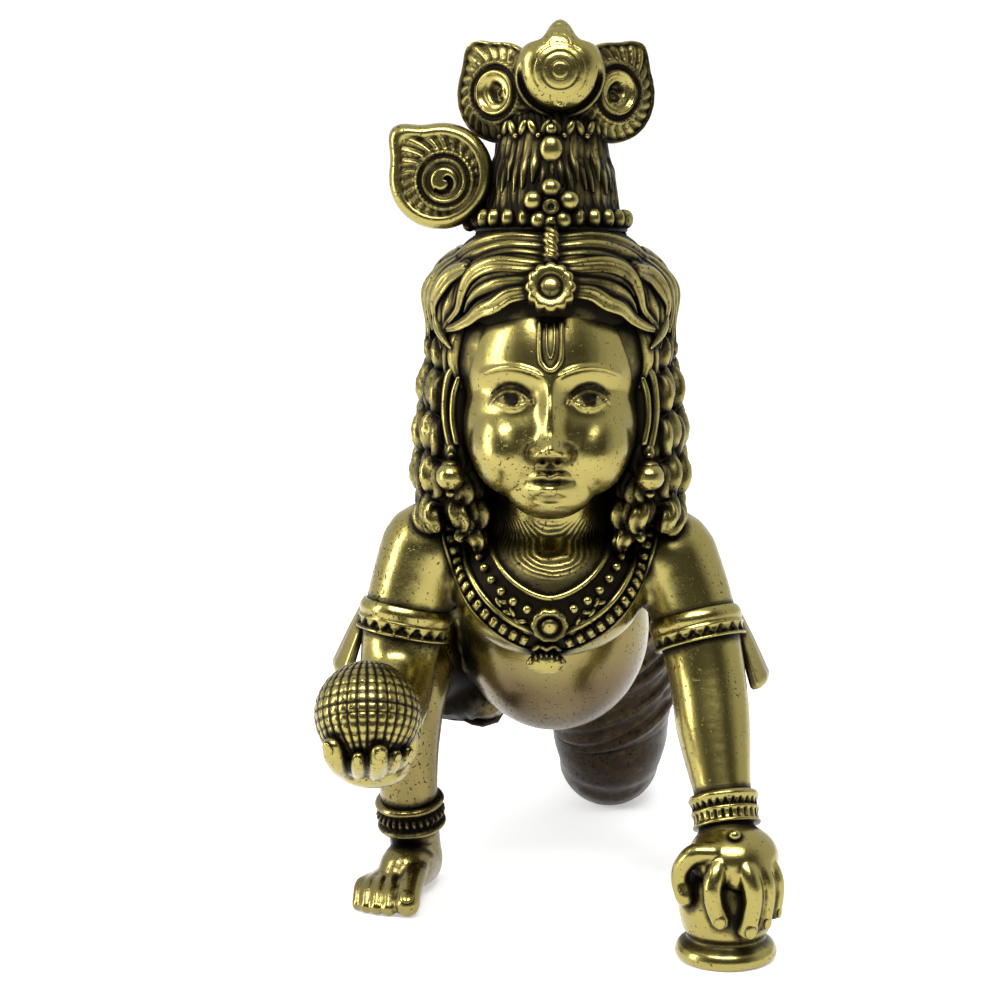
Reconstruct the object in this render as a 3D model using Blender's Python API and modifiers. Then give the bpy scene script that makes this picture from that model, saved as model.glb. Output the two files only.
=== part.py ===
"""A crawling Krishna idol, cast in brass as one piece.

The figure kneels on its left knee with the right foot planted, leans its left hand on an upturned
pot and holds out a ball of butter on its right palm. It faces -Y, +Z is up, and +X is its left.
"""

import math

import bmesh
import bpy
from mathutils import Euler, Matrix, Vector
from mathutils.bvhtree import BVHTree

# Driving dimension, in metres: the floor to the tip of the front crown feather.
FIGURE_HEIGHT = 0.120
# Every other size and place is in the sculptor's own parts, about 120 of them to the height.

# The head turns about the top of the neck, so that the face looks up at whoever stands before it.
HEAD_PIVOT = (0.0, 2.0, 62.0)
HEAD_TILT = 8.0
CHIN_Z = 56.6
SKULL_TOP_Z = 91.0
HAIR_CENTRE = (0.0, 4.4, 78.0)
HAIR_RADII = (15.0, 15.6, 14.4)
# The hair swells towards its top, under the bun.
TOP_HAIR_CENTRE = (0.0, 4.4, 84.0)
TOP_HAIR_RADII = (15.2, 13.6, 9.4)

# The hair bun above the head, its ring of beads and the crown of feathers on it.
BUN_Y = 1.0
BUN_LIFT = 1.1
BUN_HEIGHT = 15.0
BUN_BASE_Z = HAIR_CENTRE[2] + HAIR_RADII[2] + BUN_LIFT
BUN_TOP_Z = BUN_BASE_Z + BUN_HEIGHT
BUN_BASE_RADIUS = 9.0
BUN_NECK_RADIUS = 6.0
BUN_BEADS = 20
BUN_BEAD_RADIUS = 1.25
CROWN_X = 0.6
CROWN_LIFT = 4.3
CROWN_Z = BUN_TOP_Z + CROWN_LIFT
# A feather's half width, half height and half depth, how far its tip stands out and its shoulders sink.
FRONT_FEATHER = (5.9, 5.9, 1.7, 0.17, 0.15)
CROWN_FEATHER = (6.6, 6.5, 1.7, 0.24, 0.0)
# Where the crown's feathers stand from its middle, and how they turn and lean, in degrees.
FRONT_FEATHER_AT = (0.5, -6.2, 1.3)
CROWN_SIDE_AT = (7.1, -1.6, -1.0)
CROWN_SIDE_TURN = 35.0
CROWN_SIDE_LEAN = 35.0
CROWN_BACK_AT = (0.0, 5.6, -0.5)
# The feather beside the bun, from the middle of the bun's base.
SIDE_FEATHER_AT = (-14.3, -2.6, 7.5)
SIDE_FEATHER = (7.0, 6.8, 1.5, 0.32, 0.0)
SIDE_FEATHER_LEAN = -46.0

# The butter ball and the pot.
BALL_AT = (-22.8, -24.6, 36.6)
BALL_RADIUS = 6.75
POT_AT = (23.3, -11.2)
POT_RADIUS = 6.3
POT_RIM_RADIUS = 6.6
POT_RIM_HEIGHT = 2.8
POT_NECK_RADIUS = 5.2
POT_HEIGHT = 13.4

# Jewellery.
EARRING_RADIUS = 2.0
ARMBAND_Z = 42.5
ARMBAND_HEIGHT = 4.2
BANGLE_HEIGHT = 4.4
ANKLET_HEIGHT = 4.8
BAND_LIFT = 0.9
PENDANT_RADIUS = 2.3
ROSETTE_Z = 43.8
PENDANT_Z = 38.9

# The limbs' paths: x, y, z and radius, from the trunk outwards.
RIGHT_ARM = ((-16.4, 6.0, 51.0, 6.4), (-19.0, 4.6, 43.5, 5.7), (-20.2, 3.0, 36.5, 5.2), (-20.6, -1.5, 32.6, 4.9),
             (-21.4, -9.0, 30.6, 4.3), (-22.2, -15.5, 29.6, 3.5))
LEFT_ARM = ((16.2, 6.0, 50.0, 6.4), (19.0, 3.8, 43.5, 5.7), (20.9, 0.8, 35.5, 5.2), (21.8, -2.6, 28.5, 5.0),
            (22.8, -7.0, 21.5, 3.9), (23.4, -9.4, 17.0, 3.6))
RIGHT_LEG = ((-7.0, 44, 34, 9.6), (-12.5, 31, 33.5, 8.4), (-18.0, 17.5, 33.4, 6.6), (-19.4, 13.2, 30.0, 5.7),
             (-19.7, 13.6, 22, 4.7), (-19.4, 14.6, 13.5, 4.0), (-18.9, 15.8, 8.0, 3.6))
RIGHT_FOOT = ((-18.4, 18.0, 3.3, 3.6), (-19.8, 12.5, 4.4, 3.9), (-21.5, 8.2, 2.8, 3.8), (-22.5, 6.0, 2.0, 3.0))
LEFT_LEG = ((7.4, 45, 33, 10.2), (8.9, 50, 22, 9.4), (9.2, 54.2, 11.0, 8.6))
LEFT_SHIN = ((9.1, 57.0, 7.2, 7.8), (8.9, 66, 5.4, 5.6), (8.4, 75.5, 4.4, 3.9), (8.2, 80, 4.6, 3.8))
LEFT_FOOT = (LEFT_SHIN[-1], (7.8, 85.5, 3.6, 3.7), (7.4, 90.0, 2.6, 2.9))
# Where each foot's big toe starts and ends, and the toes' radius and pitch.
RIGHT_TOE = ((-18.5, 6.4, 1.8), (-18.9, 2.6, 1.25))
LEFT_TOE = ((10.3, 89.6, 2.3), (10.0, 93.0, 1.6))
TOE_RADIUS = 1.6
TOE_PITCH = 1.7

# How finely the fused clay is resolved, and how many triangles the casting keeps.
FLESH_GRAIN = 0.6
CASTING_GRAIN = 0.42
CASTING_TRIANGLES = 9600
DETAIL_WEIGHT = 0.004


def smooth_rows(rows, steps=6):
    """Rows of numbers on a Catmull-Rom curve through the given rows."""
    rows = [Vector(row) for row in rows]
    padded = [rows[0] * 2 - rows[1], *rows, rows[-1] * 2 - rows[-2]]
    found = []
    for before, start, end, after in zip(padded, padded[1:], padded[2:], padded[3:]):
        for step in range(steps):
            t = step / steps
            found.append(
                0.5 * (
                    2 * start
                    + (end - before) * t
                    + (2 * before - 5 * start + 4 * end - after) * t**2
                    + (3 * start - before - 3 * end + after) * t**3
                )
            )
    return [*found, rows[-1]]


class Clay:
    """Shapes that overlap, gathered before they are fused into one skin."""

    def __init__(self):
        self.points, self.faces = [], []

    def add(self, mesh, matrix):
        start = len(self.points)
        self.points += [matrix @ vertex.co for vertex in mesh.vertices]
        self.faces += [[start + index for index in polygon.vertices] for polygon in mesh.polygons]


def shown(name, data):
    obj = bpy.data.objects.new(name, data)
    bpy.context.scene.collection.objects.link(obj)
    return obj


def shown_mesh(obj):
    """A copy of what the viewport shows of an object."""
    bpy.context.view_layer.update()
    return bpy.data.meshes.new_from_object(obj.evaluated_get(bpy.context.evaluated_depsgraph_get()))


def add_object(clay, obj):
    """Adds what the viewport shows of an object to the clay, and removes the object."""
    mesh = shown_mesh(obj)
    clay.add(mesh, obj.matrix_world)
    bpy.data.objects.remove(obj)


def round_mesh(sides):
    """A ball of radius 1, kept for the next one that has as many sides."""
    name = f"ball_{sides}"
    if name not in bpy.data.meshes:
        form = bmesh.new()
        bmesh.ops.create_uvsphere(form, u_segments=sides, v_segments=sides // 2, radius=1)
        form.to_mesh(bpy.data.meshes.new(name))
        form.free()
    return bpy.data.meshes[name]


def add_ball(clay, centre, radii, turn=(0.0, 0.0, 0.0), place=None, sides=20):
    """An ellipsoid. turn is in degrees about X, Y and Z."""
    radii = (radii,) * 3 if isinstance(radii, (int, float)) else radii
    matrix = Matrix.LocRotScale(Vector(centre), Euler([math.radians(a) for a in turn]), Vector(radii))
    clay.add(round_mesh(sides), (place or Matrix.Identity(4)) @ matrix)


def add_tubes(clay, paths, place=None, closed=False, steps=6):
    """Round tubes along smooth paths. A path's rows are x, y, z and the tube's radius there."""
    data = bpy.data.curves.new("tubes", "CURVE")
    data.dimensions = "3D"
    data.bevel_depth = 1.0
    data.bevel_resolution = 2
    data.use_fill_caps = True
    for path in paths:
        rows = path if closed else smooth_rows(path, steps)
        spline = data.splines.new("POLY")
        spline.points.add(len(rows) - 1)
        spline.use_cyclic_u = closed
        for point, (x, y, z, radius) in zip(spline.points, rows):
            point.co = (x, y, z, 1)
            point.radius = radius
    obj = shown("tubes", data)
    if place:
        obj.matrix_world = place
    add_object(clay, obj)


def add_limb(clay, path):
    """A tube with rounded ends."""
    add_tubes(clay, [path])
    for x, y, z, radius in (path[0], path[-1]):
        add_ball(clay, (x, y, z), radius, sides=16)


def add_turned(clay, profile, place, sides=28):
    """A turned shape about the placed Z axis. The profile's rows are radius and height, bottom first."""
    mesh = bpy.data.meshes.new("turned")
    rows = [(radius, 0, height) for radius, height in reversed(profile)]
    mesh.from_pydata(rows, [(i, i + 1) for i in range(len(rows) - 1)], [])
    obj = shown("turned", mesh)
    obj.matrix_world = place
    screw = obj.modifiers.new("turn", "SCREW")
    screw.steps = screw.render_steps = sides
    screw.use_merge_vertices = True
    screw.merge_threshold = 0.0001
    add_object(clay, obj)


def add_leaf(clay, place, half_width, half_height, half_depth, tip, shoulder, sides=44):
    """A feather's eye: a domed disc in the placed XZ plane. Its shoulders run up to a point."""
    mesh = round_mesh(sides).copy()
    for vertex in mesh.vertices:
        x, y, z = vertex.co
        turn = abs(math.atan2(x, y))
        reach = 1 + tip * math.exp(-((turn / 0.3) ** 2)) - shoulder * math.exp(-(((turn - 0.5) / 0.3) ** 2))
        vertex.co = (x * half_width * reach, z * half_depth, y * half_height * reach)
    clay.add(mesh, place)
    bpy.data.meshes.remove(mesh)


def along(point, direction):
    """The placement that has its origin at a point and its Z axis along a direction."""
    return Matrix.Translation(Vector(point)) @ Vector(direction).to_track_quat("Z", "Y").to_matrix().to_4x4()


def head_place():
    """Carries the upright head onto the neck."""
    pivot = Matrix.Translation(Vector(HEAD_PIVOT))
    return pivot @ Matrix.Rotation(math.radians(-HEAD_TILT), 4, "X") @ pivot.inverted()


def fused(clay, name, grain, rounds, strength=0.5):
    """The clay as one closed skin, with its joints softened by rounds of smoothing."""
    mesh = bpy.data.meshes.new(name)
    mesh.from_pydata(clay.points, [], clay.faces)
    obj = shown(name, mesh)
    remesh = obj.modifiers.new("fuse", "REMESH")
    remesh.mode = "VOXEL"
    remesh.voxel_size = grain
    remesh.use_smooth_shade = True
    smooth = obj.modifiers.new("soften", "SMOOTH")
    smooth.factor = strength
    smooth.iterations = rounds
    return obj


def bump(x, z, centre, radii, height):
    """A soft mound of the given height."""
    return height * math.exp(-(((x - centre[0]) / radii[0]) ** 2) - ((z - centre[1]) / radii[1]) ** 2)


def face_relief(x, z):
    """How far the face stands out at a place of its front, by the canon of a child's face.

    The eyes are a little under half-way up the head, five of them fit across it, and the nose ends
    half-way from them to the chin.
    """
    height = SKULL_TOP_Z - CHIN_Z
    eye_z = CHIN_Z + 0.455 * height
    nose_z = CHIN_Z + 0.5 * (eye_z - CHIN_Z)
    mouth_z = CHIN_Z + 0.33 * (eye_z - CHIN_Z)
    eye_x = 0.145 * height
    x = abs(x)
    relief = bump(x, z, (eye_x, eye_z + 0.4), (3.4, 2.4), -2.2)
    relief += bump(x, z, (eye_x, eye_z - 0.1), (2.3, 1.3), 2.3)
    relief += bump(x, z, (eye_x + 0.4, eye_z + 3.7), (3.8, 0.9), 0.9)
    relief += bump(x, z, (0, eye_z - 1.6), (1.4, 4.2), 1.7)
    relief += bump(x, z, (0, nose_z + 1.4), (1.7, 1.8), 2.5)
    relief += bump(x, z, (1.9, nose_z + 0.9), (1.0, 1.0), 1.5)
    relief += bump(x, z, (0, mouth_z + 1.0), (2.9, 0.85), 1.5)
    relief += bump(x, z, (0, mouth_z - 1.0), (2.4, 0.95), 1.6)
    relief += bump(x, z, (0, mouth_z), (3.3, 0.4), -1.2)
    relief += bump(x, z, (0, CHIN_Z + 2.4), (2.8, 1.8), 0.6)
    relief += bump(x, z, (6.0, nose_z - 0.6), (3.8, 3.6), 0.9)
    return relief


def add_head(clay):
    """Skull, face and ears, tilted onto the neck. Returns the upright head's skin."""
    form = Clay()
    add_ball(form, (0, 0.5, 76.0), (12.2, 13.6, 14.6), sides=32)
    add_ball(form, (0, -3.4, 68.9), (11.5, 10.2, 11.0), sides=32)
    add_ball(form, (0, -7.4, CHIN_Z + 4.5), (5.8, 4.8, 4.4))
    for side in (-1, 1):
        add_ball(form, (side * 5.2, -7.4, 66.2), (5.8, 5.6, 6.2))
    obj = fused(form, "head", 0.36, 16)
    mesh = shown_mesh(obj)
    for vertex in mesh.vertices:
        share = min(1.0, max(0.0, (-5.0 - vertex.co.y) / 3.0))
        if share > 0:
            vertex.co.y -= share * face_relief(vertex.co.x, vertex.co.z)
    clay.add(mesh, head_place())
    bpy.data.objects.remove(obj)
    for side in (-1, 1):
        lobe = [(side * 12.2, -2.6, 66.4, 0.9), (side * 13.0, -2.4, 69.0, 1.1), (side * 13.2, -1.8, 72.6, 1.2)]
        add_tubes(clay, [lobe], head_place())
    return BVHTree.FromPolygons([v.co for v in mesh.vertices], [tuple(p.vertices) for p in mesh.polygons])


def on_hair(azimuth, elevation, lift=0.0):
    """A point over the hair's round form. Azimuth runs from the forehead towards the figure's left."""
    a, e = math.radians(azimuth), math.radians(elevation)
    out = Vector((math.cos(e) * math.sin(a), -math.cos(e) * math.cos(a), math.sin(e)))
    reach = Vector(o * r for o, r in zip(out, HAIR_RADII))
    # Where the same line leaves the swelling at the top, which may be further out.
    rise = Vector((c - t) / r for c, t, r in zip(HAIR_CENTRE, TOP_HAIR_CENTRE, TOP_HAIR_RADII))
    step = Vector(v / r for v, r in zip(reach, TOP_HAIR_RADII))
    inside = step.dot(rise) ** 2 - step.dot(step) * (rise.dot(rise) - 1)
    share = (math.sqrt(inside) - step.dot(rise)) / step.dot(step) if inside > 0 else 1.0
    return Vector(HAIR_CENTRE) + reach * max(1.0, share) + out * lift


def add_front_locks(clay):
    """Broad locks that part over the forehead and sweep back past the temples, tier above tier."""
    tiers = (
        ((6, 22, 1.2), (20, 27, 1.7), (40, 24, 1.9), (60, 11, 1.7), (78, -3, 1.2)),
        ((6, 36, 1.2), (24, 42, 1.7), (46, 38, 1.9), (68, 24, 1.8), (88, 6, 1.4), (100, -8, 1.0)),
        ((6, 50, 1.1), (28, 57, 1.6), (54, 52, 1.9), (78, 37, 1.8), (98, 17, 1.5), (112, -2, 1.1)),
        ((10, 65, 1.1), (40, 71, 1.5), (68, 64, 1.8), (92, 49, 1.8), (112, 28, 1.6), (126, 6, 1.2)),
    )
    paths = []
    for side in (-1, 1):
        for tier in tiers:
            paths.append([(*on_hair(side * azimuth, rise, 0.5), radius) for azimuth, rise, radius in tier])
    add_tubes(clay, paths, head_place())


def add_side_locks(clay):
    """Stacked curls that hang from the temples, behind the ears, onto the shoulders."""
    paths = []
    for side in (-1, 1):
        add_ball(clay, (side * 11.6, 4.6, 65.0), (4.4, 7.0, 13.0), place=head_place())
        for rank, (out, back) in enumerate(((0.0, 0.0), (0.9, 4.6), (0.2, 9.2))):
            rows = []
            for step in range(25):
                fall = step / 24
                curl = math.sin(fall * math.tau * 4.5 + rank * 2)
                rows.append((
                    side * (12.8 + out + 2.7 * fall + 0.5 * curl),
                    0.2 + back - 1.6 * fall,
                    79.0 - 23.5 * fall,
                    1.9 + 0.5 * math.sin(math.pi * fall) + 0.45 * curl - 0.6 * fall**4,
                ))
            paths.append(rows)
    add_tubes(clay, paths, head_place(), steps=2)


def add_back_locks(clay):
    """Long waves that run from the bun down the back of the head and over the shoulder blades."""
    head = head_place()
    add_ball(clay, (0, 12.5, 63.0), (12.4, 8.2, 14.5))
    paths = []
    count = 9
    for index in range(count):
        spread = (index / (count - 1) - 0.5) * 2
        rows = []
        for rise in (66, 48, 28, 8):
            rows.append((*(head @ on_hair(180 - spread * 74, rise, 0.0)), 1.9 + 0.3 * math.cos(rise / 20)))
        for step in range(9):
            fall = step / 8
            wave = math.sin(fall * math.tau * 1.6 + index * 1.3) * 0.8
            rows.append((
                spread * (13.6 - 2.6 * fall) + wave,
                21.5 - 8.0 * spread**2 + 1.5 * fall,
                74.0 - (21.0 - 4.0 * spread**2) * fall,
                2.2 - 1.0 * fall,
            ))
        paths.append(rows)
    add_tubes(clay, paths, steps=2)


def add_bun(clay):
    """The gathered bun with upright strands, and the ring of beads and flower at its base."""
    place = head_place() @ Matrix.Translation((0, BUN_Y, 0))
    height = BUN_TOP_Z - BUN_BASE_Z
    strands = []
    for index in range(18):
        angle = math.tau * index / 18
        rows = []
        for share in (0.0, 0.3, 0.6, 0.85, 1.0):
            radius = BUN_BASE_RADIUS + (BUN_NECK_RADIUS - BUN_BASE_RADIUS) * share**0.8 - 0.7
            rows.append((radius * math.cos(angle), radius * math.sin(angle), BUN_BASE_Z + height * share, 1.25))
        strands.append(rows)
    add_tubes(clay, strands, place, steps=2)
    inside_hair = HAIR_CENTRE[2] + HAIR_RADII[2] * 0.5
    profile = [
        (0, inside_hair),
        (BUN_BASE_RADIUS + 3.2, inside_hair),
        (BUN_BASE_RADIUS + 2.6, BUN_BASE_Z - 3.5),
        (BUN_BASE_RADIUS + 1.2, BUN_BASE_Z - 1.5),
        (BUN_BASE_RADIUS - 0.4, BUN_BASE_Z),
        (BUN_NECK_RADIUS, BUN_BASE_Z + height * 0.75),
        (BUN_NECK_RADIUS - 0.5, BUN_TOP_Z),
        (0, BUN_TOP_Z),
    ]
    add_turned(clay, profile, place)
    for index in range(BUN_BEADS):
        angle = math.tau * index / BUN_BEADS
        reach = BUN_BASE_RADIUS + 0.5
        add_ball(clay, (reach * math.cos(angle), reach * math.sin(angle), BUN_BASE_Z + 2), BUN_BEAD_RADIUS, place=place, sides=10)
    front = -BUN_BASE_RADIUS - 0.9
    for index in range(5):
        angle = math.tau * (index / 5 + 0.25)
        add_ball(clay, (2.5 * math.cos(angle), front, BUN_BASE_Z + 3.6 + 2.4 * math.sin(angle)), (1.45, 1.3, 1.45), place=place, sides=10)
    add_ball(clay, (0, front, BUN_BASE_Z + 3.4), (1.2, 1.5, 1.2), place=place, sides=10)
    add_ball(clay, (0, -BUN_NECK_RADIUS - 0.9, BUN_TOP_Z - 4.4), (1.45, 1.3, 1.85), place=place, sides=12)
    for index in range(8):
        angle = math.tau * (index / 16 + 0.5) + math.tau / 32
        reach = BUN_NECK_RADIUS + 0.4
        add_ball(clay, (reach * math.cos(angle), reach * math.sin(angle), BUN_TOP_Z - 2.2), (1.0, 1.0, 1.8), place=place, sides=10)


def feather_rings(place, half_width, half_height, half_depth, rings):
    """Closed ridges, one inside the other, on a feather's face."""
    paths = []
    for share in rings:
        rows = []
        for step in range(24):
            angle = math.tau * step / 24
            x, z = share * math.sin(angle), share * math.cos(angle) - 0.06
            y = -half_depth * math.sqrt(max(0.0, 1 - x * x - z * z)) * 0.97
            rows.append((*(place @ Vector((x * half_width, y, z * half_height))), 0.55))
        paths.append(rows)
    return paths


def feather_place(place, at, turn, lean):
    """Turn is about the upright, and lean tips the feather in its own plane, both in degrees."""
    turned = Matrix.Rotation(math.radians(turn), 4, "Z") @ Matrix.Rotation(math.radians(lean), 4, "Y")
    return place @ Matrix.Translation(at) @ turned


def add_feather(clay, place, size, rings):
    """A peacock feather's eye with its rings."""
    add_leaf(clay, place, *size)
    add_tubes(clay, feather_rings(place, *size[:3], rings), closed=True)


def add_crown(clay):
    """Three peacock feathers round the top of the bun, a fourth behind, and one beside it."""
    head = head_place()
    top = head @ Matrix.Translation((CROWN_X, BUN_Y, CROWN_Z))
    add_ball(clay, (0, 0.4, -1.4), (8.0, 6.0, 4.4), place=top)
    front = feather_place(top, FRONT_FEATHER_AT, 0, 0)
    add_leaf(clay, front, *FRONT_FEATHER)
    dome = FRONT_FEATHER[0] * 0.72
    add_ball(clay, (0, -FRONT_FEATHER[2] * 0.7, 0.3), (dome, dome * 0.55, dome), place=front)
    for side in (-1, 1):
        at = (side * CROWN_SIDE_AT[0], *CROWN_SIDE_AT[1:])
        add_feather(clay, feather_place(top, at, side * CROWN_SIDE_TURN, side * CROWN_SIDE_LEAN), CROWN_FEATHER, (0.62, 0.3))
    add_feather(clay, feather_place(top, CROWN_BACK_AT, 180, 0), CROWN_FEATHER, (0.62, 0.3))
    base = head @ Matrix.Translation((0, BUN_Y, BUN_BASE_Z))
    add_feather(clay, feather_place(base, SIDE_FEATHER_AT, -8, SIDE_FEATHER_LEAN), SIDE_FEATHER, (0.66, 0.4, 0.16))
    x, y, z = SIDE_FEATHER_AT
    stem = ((x + 4.8, y + 2.0, z - 6.0, 2.0), (x + 5.9, y + 2.6, z - 2.6, 1.6), (x + 8.0, y + 3.2, z - 1.0, 1.4))
    add_tubes(clay, [stem], base)


def add_forehead_jewel(clay, face):
    """The rosette over the parting, the bar that hangs it from the bun, and the mark on the brow."""
    head = head_place()
    centre = on_hair(0, 31, 2.0)
    place = head @ along(centre, (0, -0.94, 0.34))
    profile = [(0, -2.5), (3.1, -2.5), (3.1, 0.4), (2.7, 0.9), (1.8, 0.9), (1.5, 0.5), (1.0, 1.2), (0, 1.4)]
    add_turned(clay, profile, place)
    bar = [(0, centre.y, centre.z + 2.0, 0.9)]
    bar += [(*on_hair(0, e, 1.4), r) for e, r in ((46, 1.0), (55, 0.8), (64, 1.1), (72, 0.9))]
    add_tubes(clay, [bar], head)
    brow_z = CHIN_Z + 0.455 * (SKULL_TOP_Z - CHIN_Z) + 3.4
    hair_z = CHIN_Z + 0.7326 * (SKULL_TOP_Z - CHIN_Z)
    mark = []
    for x, z in ((-1, hair_z), (-1, brow_z + 2.6), (0, brow_z + 0.9), (1, brow_z + 2.6), (1, hair_z)):
        hit = face.ray_cast(Vector((x, -60, z)), Vector((0, 1, 0)))[0]
        if hit:
            mark.append((*hit, 0.5))
    add_tubes(clay, [mark], head)


def add_torso(clay):
    """Chest, hanging belly, back and seat."""
    add_ball(clay, (0, 9, 49), (15.0, 11.5, 10.5))
    add_ball(clay, (0, 1.5, 46.5), (12.6, 9.0, 9.0))
    add_ball(clay, (0.6, 19, 37.2), (13.2, 14.0, 14.6))
    add_ball(clay, (0, 31, 39), (12.6, 12.0, 11.8))
    for side in (-1, 1):
        add_ball(clay, (side * 6.6, 44, 34.5), (9.6, 11.0, 11.0))
        add_ball(clay, (side * 15.6, 6.5, 50.6 - side * 0.5), (6.6, 7.0, 6.4))
    add_limb(clay, [(0, 8, 50, 9.0), (0, 4, 58, 7.4), (0, 2.5, 66, 7.4)])


def add_limbs(clay):
    for path in (RIGHT_ARM, LEFT_ARM, RIGHT_LEG, LEFT_LEG, LEFT_SHIN):
        add_limb(clay, path)


def add_feet(clay):
    """The planted right foot, and the left foot that trails with its sole turned up."""
    add_limb(clay, RIGHT_FOOT)
    x, y, z, radius = RIGHT_FOOT[-1]
    add_ball(clay, (x + 0.4, y + 1.6, z - 0.2), (radius * 1.5, radius * 1.5, radius * 0.87))
    add_limb(clay, LEFT_FOOT)
    for index in range(5):
        radius = TOE_RADIUS - 0.12 * index
        shorter = 0.4 * index**1.3
        (x0, y0, z0), (x1, y1, z1) = RIGHT_TOE
        aside = TOE_PITCH * index
        add_limb(clay, [(x0 - aside, y0, z0, radius), (x1 - aside, y1 + shorter, z1 - 0.1 * index, radius)])
        (x0, y0, z0), (x1, y1, z1) = LEFT_TOE
        aside *= 0.9
        add_limb(clay, [(x0 - aside, y0, z0, radius), (x1 - aside, y1 - shorter, z1, radius)])


def add_right_hand(clay):
    """The palm under the butter ball, with its fingers curled up the ball's front."""
    x, y, z = BALL_AT
    add_ball(clay, BALL_AT, BALL_RADIUS, sides=24)
    add_ball(clay, (x + 0.2, y + 3.4, z - BALL_RADIUS - 1.0), (5.0, 6.4, 2.9))
    reach = BALL_RADIUS + 0.7
    fingers = []
    for turn, top, radius in ((-30, -8, 1.5), (-2, 2, 1.45), (24, 6, 1.4), (48, -2, 1.25)):
        rows = []
        for rise in (-78, -52, -28, top - 8):
            a, e = math.radians(turn), math.radians(rise)
            rows.append((
                x + reach * math.cos(e) * math.sin(a),
                y - reach * math.cos(e) * math.cos(a),
                z + reach * math.sin(e),
                radius,
            ))
        fingers.append(rows)
    for rows in fingers:
        add_limb(clay, rows)


def add_left_hand(clay):
    """The hand that leans on the upturned pot, its fingers spread down the front."""
    x, y = POT_AT
    add_turned(
        clay,
        [
            (0, -1.0),
            (POT_RIM_RADIUS - 0.5, -1.0),
            (POT_RIM_RADIUS, 0.8),
            (POT_RIM_RADIUS, POT_RIM_HEIGHT - 1.0),
            (POT_RIM_RADIUS - 0.6, POT_RIM_HEIGHT),
            (POT_NECK_RADIUS, POT_RIM_HEIGHT + 0.8),
            (POT_RADIUS - 0.5, POT_RIM_HEIGHT + 2.2),
            (POT_RADIUS, POT_HEIGHT * 0.62),
            (POT_RADIUS - 0.6, POT_HEIGHT * 0.8),
            (POT_RADIUS - 2.6, POT_HEIGHT),
            (0, POT_HEIGHT + 0.8),
        ],
        Matrix.Translation((x, y, 0)),
    )
    add_ball(clay, (x + 0.2, y - 1.4, POT_HEIGHT + 0.6), (5.3, 5.2, 4.6))
    reach = POT_RADIUS + 0.8
    for turn, low, radius in ((-24, 0.38, 1.35), (2, 0.30, 1.4), (26, 0.36, 1.3), (50, 0.46, 1.15)):
        a = math.radians(turn)
        rows = []
        for share, out in ((1.02, 0.72), (0.86, 0.96), (0.62, 1.0), (low, 0.99)):
            rows.append((x + reach * out * math.sin(a), y - reach * out * math.cos(a), POT_HEIGHT * share, radius))
        add_limb(clay, rows)
    add_limb(clay, [(x - 3.6, y + 0.6, POT_HEIGHT + 1.6, 1.7), (x - 6.0, y - 2.4, POT_HEIGHT - 0.8, 1.5),
                    (x - 5.8, y - 4.4, POT_HEIGHT * 0.68, 1.3)])


def loop_on(skin, centre, normal, reach, lift, radius, steps=28):
    """A closed path round a limb or the waist, on its skin, in the plane through a centre."""
    place = along(centre, normal)
    rows = []
    for step in range(steps):
        angle = math.tau * step / steps
        out = (place.to_3x3() @ Vector((math.cos(angle), math.sin(angle), 0))).normalized()
        hit = skin.ray_cast(Vector(centre) + out * reach, -out)[0] or Vector(centre)
        rows.append((*(hit + out * lift), radius))
    return rows


def add_band(clay, skin, centre, normal, reach, height, lift=BAND_LIFT, rows=3):
    """A bangle: loops of wire side by side round a limb."""
    place = Vector(normal).normalized()
    paths = []
    for index in range(rows):
        shift = (index / (rows - 1) - 0.5) * (height - height / rows)
        radius = height / rows * 0.62
        paths.append(loop_on(skin, Vector(centre) + place * shift, normal, reach, lift - radius * 0.5, radius))
    add_tubes(clay, paths, closed=True)


def at_height(path, z):
    """The point and direction of a limb's path at a height."""
    rows = smooth_rows(path)
    for (x0, y0, z0, _), (x1, y1, z1, _) in zip(rows, rows[1:]):
        if (z0 - z) * (z1 - z) <= 0 and z0 != z1:
            share = (z0 - z) / (z0 - z1)
            start, end = Vector((x0, y0, z0)), Vector((x1, y1, z1))
            return start.lerp(end, share), (start - end).normalized()
    raise ValueError(f"the path has no point at height {z}")


def add_bands(clay, skin):
    """Armbands with their hanging ends, the bangles and the anklets."""
    for side, path, drop, spread in ((-1, RIGHT_ARM, 7.8, 3.3), (1, LEFT_ARM, 9.6, 2.8)):
        centre, normal = at_height(path, ARMBAND_Z)
        add_band(clay, skin, centre, normal, 7.4, ARMBAND_HEIGHT, BAND_LIFT + 0.2)
        out = Vector((side * 1.0, 0.35, 0)).normalized()
        top = centre + out * 5.6
        flap = [(*(top + Vector((0, 0, 1.0))), 1.0), (*(top + out * 1.4 + Vector((0, 0, -0.4 * drop))), 1.4)]
        flap.append((*(top + out * spread + Vector((0, 0, -drop))), 1.7))
        add_tubes(clay, [flap])
    wrist, normal = at_height(LEFT_ARM, 19.8)
    add_band(clay, skin, wrist, normal, 6.0, BANGLE_HEIGHT)
    start, end = Vector(RIGHT_ARM[-2][:3]), Vector(RIGHT_ARM[-1][:3])
    add_band(clay, skin, start.lerp(end, 0.35), end - start, 6.5, BANGLE_HEIGHT)
    ankle, normal = at_height(RIGHT_LEG, 11.4)
    add_band(clay, skin, ankle, normal, 6.5, ANKLET_HEIGHT)
    start, end = Vector(LEFT_SHIN[-3][:3]), Vector(LEFT_SHIN[-2][:3])
    add_band(clay, skin, start.lerp(end, 0.9), end - start, 6.5, ANKLET_HEIGHT)


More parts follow.
